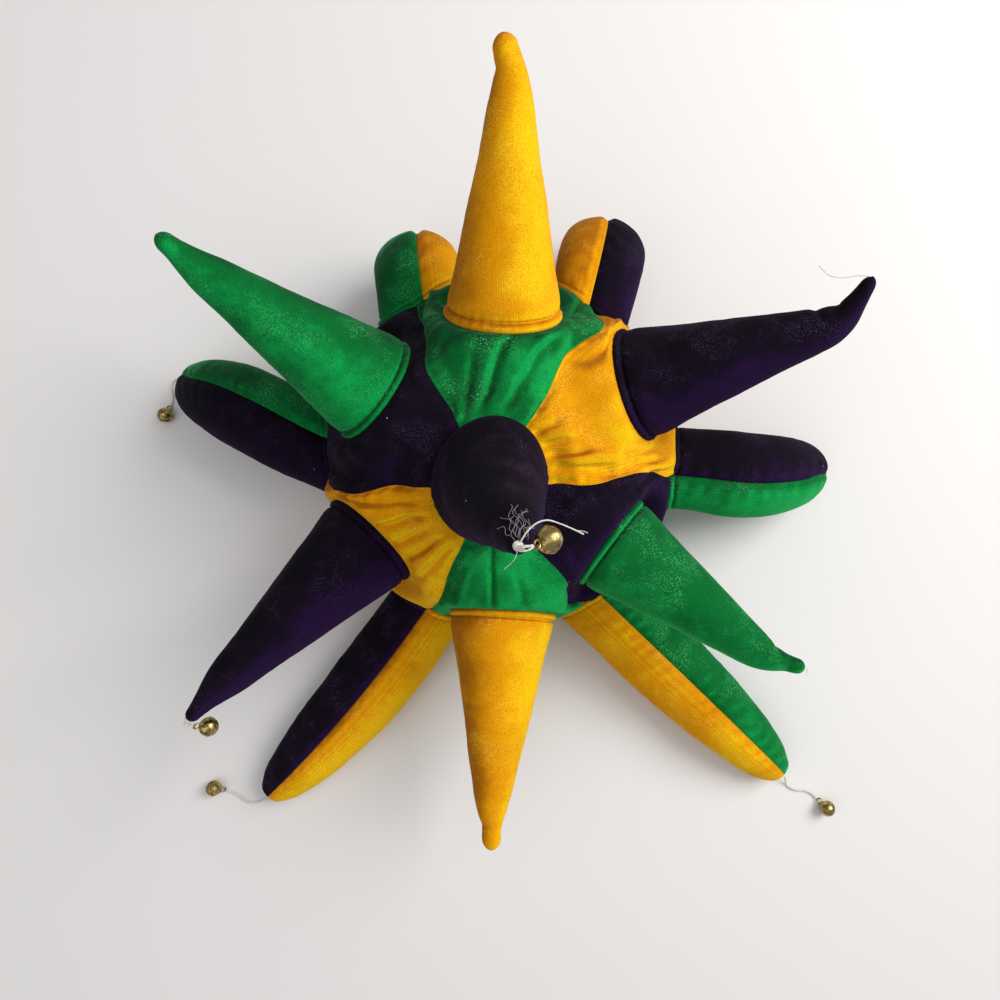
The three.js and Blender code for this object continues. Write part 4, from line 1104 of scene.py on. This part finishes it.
# short threads that stick out: the horn whose tip holds each, its radius, and its way from there
# over the surface, right, back and up in millimetres
strayWays = [
    ("top_horn_purple", 0.3, [(0, 0, 0.5), (2.5, 4.5, 1.6), (6, 7.8, 1.6), (9.5, 8.8, 1.2), (14, 7.6, 0),
                              (18.5, 5.8, -1.8), (22, 4.2, -3)]),
    ("top_horn_purple", 0.12, [(19.5, 5.4, -2.1), (22, 5.2, -3.5), (23.6, 4.6, -5)]),
    ("top_horn_purple", 0.14, [(0, -1, 0), (-1, -4, 0), (-2.5, -6, -2.5), (-4.5, -8, -5)]),
    ("horn_purple_right", 0.22, [(-1, 0, 0), (-7, 0.5, -1), (-13, 0, -2.5), (-18, 1.5, -4), (-22, 6.5, -6)]),
    ("horn_green_right", 0.16, [(0, 0, 0), (1.6, -1.2, -0.5), (1, -3.4, -1), (2, -4.4, -2)]),
    ("horn_purple_left", 0.16, [(0, 0, 0), (-1.5, -2, -1), (-1, -4, -3), (0.5, -5.5, -5)]),
    ("horn_purple_left", 0.14, [(0, 0, 0), (2, -0.5, 0.5), (4.4, -2.4, -1.5), (6, -3, -4)]),
]

# frayed ends that lie on the top horn: from where to where, along it and in degrees round it
frays = [(0.995, 178, 0.86, 190), (0.99, 160, 0.88, 146), (0.995, 200, 0.85, 182), (0.99, 218, 0.89, 240),
         (0.995, 140, 0.9, 118), (0.99, 190, 0.87, 208), (0.985, 170, 0.83, 164), (0.99, 208, 0.9, 222),
         (0.995, 150, 0.91, 172), (0.99, 184, 0.84, 200), (0.985, 232, 0.91, 212), (0.99, 166, 0.87, 182)]


def addStrays(name, parts, material):
    points, faces = join(parts)
    piece = makeMesh(name, points, faces, material)
    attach(piece, "root")


def makeStrays():
    # thin twisted threads along smooth lines; a frayed one follows the horn's skin with a wriggle
    f = threadForm
    parts = []
    for node, radius, way in strayWays:
        horn, seat = hornOf[node]
        tip = onSurface(hornMiddle(horn, seat, np.array(1.0)))
        line, _ = spline(tip + np.array(way, float), 40)
        parts.append(tube(line, radius, 8, twist(2, 0.3, 1.4)))
    addStrays("stray_threads", parts, thread)
    parts = []
    horn, seat = hornOf["top_horn_purple"]
    t = np.linspace(0, 1, 40)
    for k, (fromAlong, fromTurn, toAlong, toTurn) in enumerate(frays):
        along = fromAlong + (toAlong - fromAlong) * t
        turn = np.radians(fromTurn + (toTurn - fromTurn) * t + 9 * np.sin(9 * t + 2 * k))
        middle, across, up = hornAxes(horn, seat, along)
        out = across * np.cos(turn)[:, None] + up * np.sin(turn)[:, None]
        line = middle + out * (hornWidth(horn, along) + 0.2 + 1.1 * t * (k % 3) / 2)[:, None]
        parts.append(tube(onSurface(line), f["fray"], 6))
    addStrays("frayed_fibres", parts, fibre)


makeStrays()

# each loose thread: name, which point it hangs on, and its way from the tip: ahead and clockwise in
# millimetres, and how much of the tip's height it keeps
looseThreads = [
    ("right", 2, [(0, 0, 1), (2.5, 0.3, 0.9), (6, 1.6, 0.35), (9.5, 3, 0), (13.5, 2.6, 0), (17.5, 0.5, 0),
                  (21, -2.5, 0), (25, -4, 0), (29.5, -4, 0)]),
    ("left", 3, [(0, 0, 1), (2.5, 0, 0.9), (6.5, 0.8, 0.35), (10.5, 2.4, 0), (13.5, 5.4, 0), (15, 9.5, 0),
                 (15, 14, 0), (16, 18.5, 0), (17.5, 23, 0)]),
    ("side", 4, [(0, 0, 1), (2.5, 0, 0.85), (6, 1, 0.3), (9.5, 0.8, 0), (12.3, -1.8, 0), (12.6, -6.2, 0),
                 (10.5, -10, 0), (8.2, -13.7, 0), (7.5, -18, 0)]),
]
for name, index, way in looseThreads:
    f = threadForm
    fine, _ = pointLine(pointRows[index], pointForm["steps"])
    tip = fine[-1] + unit(fine[-1] - fine[-2]) * (f["gap"] + f["radius"])
    heading = pointRows[index][2]
    route = np.array([tip + outward(heading) * a + outward(heading + 3) * b for a, b, _ in way])
    route[:, 2] = f["rest"] + (tip[2] - f["rest"]) * np.array([c for *_, c in way])
    line, length = spline(route, f["steps"])
    shape = tube(line, f["radius"], f["sides"], twist(3, 0.3, 3.4))
    cordPiece = makeMesh(f"thread_{name}", onSurface(shape[0], shiftOnly=True), shape[1], thread)
    place(cordPiece, f"bell_thread_{name}", "thread_white")
    flat = unit(np.array([*(line[-1] - line[-4])[:2], 0]))
    rise = math.asin((bellForm["radius"] - f["rest"]) / bellReach)
    towards = flat * math.cos(rise) + np.array([0, 0, math.sin(rise)])
    top = line[-1] + towards * f["gap"]
    bell = makeBell(f"jingle_bell_loose_{name}", f"bell_loose_{name}", top, towards, False)
    print(f"thread {name}: {length / 1000:.4f} m")
print("bells and threads made")


# floor, light and camera

stageForm = {
    "floor": (0.74, 0.725, 0.71, 1.0), "floorSize": 4000,  # half its width in millimetres
    "key": 21.0, "fill": 4.0, "back": 5.0, "sky": 0.36,
}


def makeFloor():
    corner = np.array([[-1, -1, 0], [1, -1, 0], [1, 1, 0], [-1, 1, 0]], float) * stageForm["floorSize"]
    material, tree, shader = newMaterial("floor")
    shader.inputs["Base Color"].default_value = stageForm["floor"]
    shader.inputs["Roughness"].default_value = 0.9
    floor = makeMesh("floor", corner - [0, 0, 0.3], [np.array([[0, 1, 2, 3]])], material)


def makeLight(name, at, size, power, colour=(1, 1, 1)):
    data = bpy.data.lights.new(name, "AREA")
    data.shape, data.size, data.energy, data.color = "DISK", size, power, colour
    lamp = bpy.data.objects.new(name, data)
    bpy.context.scene.collection.objects.link(lamp)
    z = unit(np.array(at, float) - [0, 0, 0.08])
    x = unit(np.cross([0, 1, 0.01], z))
    lamp.matrix_world = Matrix(np.column_stack([x, np.cross(z, x), z, at]).tolist() + [[0, 0, 0, 1]])


makeFloor()
makeLight("window", (0.95, 0.5, 1.05), 1.0, stageForm["key"], (1.0, 0.98, 0.96))
makeLight("room", (-0.9, -0.5, 1.2), 1.4, stageForm["fill"], (1.0, 0.97, 0.93))
makeLight("ceiling", (0.1, 0.2, 1.8), 1.6, stageForm["back"])
world = bpy.data.worlds.new("pale room")
world.use_nodes = True
world.node_tree.nodes["Background"].inputs[0].default_value = (0.92, 0.94, 1.0, 1.0)
world.node_tree.nodes["Background"].inputs[1].default_value = stageForm["sky"]
bpy.context.scene.world = world
bpy.context.scene.view_settings.view_transform = "Standard"

cameraForm = {
    "place": (-0.00023, -0.0112, 0.4897), "elevation": 89.0, "roll": 0.73, "lens": 27.0, "sensor": 36.0,
}
cameraData = bpy.data.cameras.new("camera")
cameraData.lens, cameraData.sensor_width = cameraForm["lens"], cameraForm["sensor"]
cameraData.clip_start, cameraData.clip_end = 0.01, 20
camera = bpy.data.objects.new("camera", cameraData)
bpy.context.scene.collection.objects.link(camera)
elevation, roll = math.radians(cameraForm["elevation"]), math.radians(cameraForm["roll"])
back = np.array([0, -math.cos(elevation), math.sin(elevation)])
right, above = np.array([1.0, 0, 0]), np.cross(back, [1.0, 0, 0])
turnedRight = right * math.cos(roll) + above * math.sin(roll)
turnedUp = above * math.cos(roll) - right * math.sin(roll)
columnsOf = np.column_stack([turnedRight, turnedUp, back, cameraForm["place"]])
camera.matrix_world = Matrix(columnsOf.tolist() + [[0, 0, 0, 1]])
bpy.context.scene.camera = camera
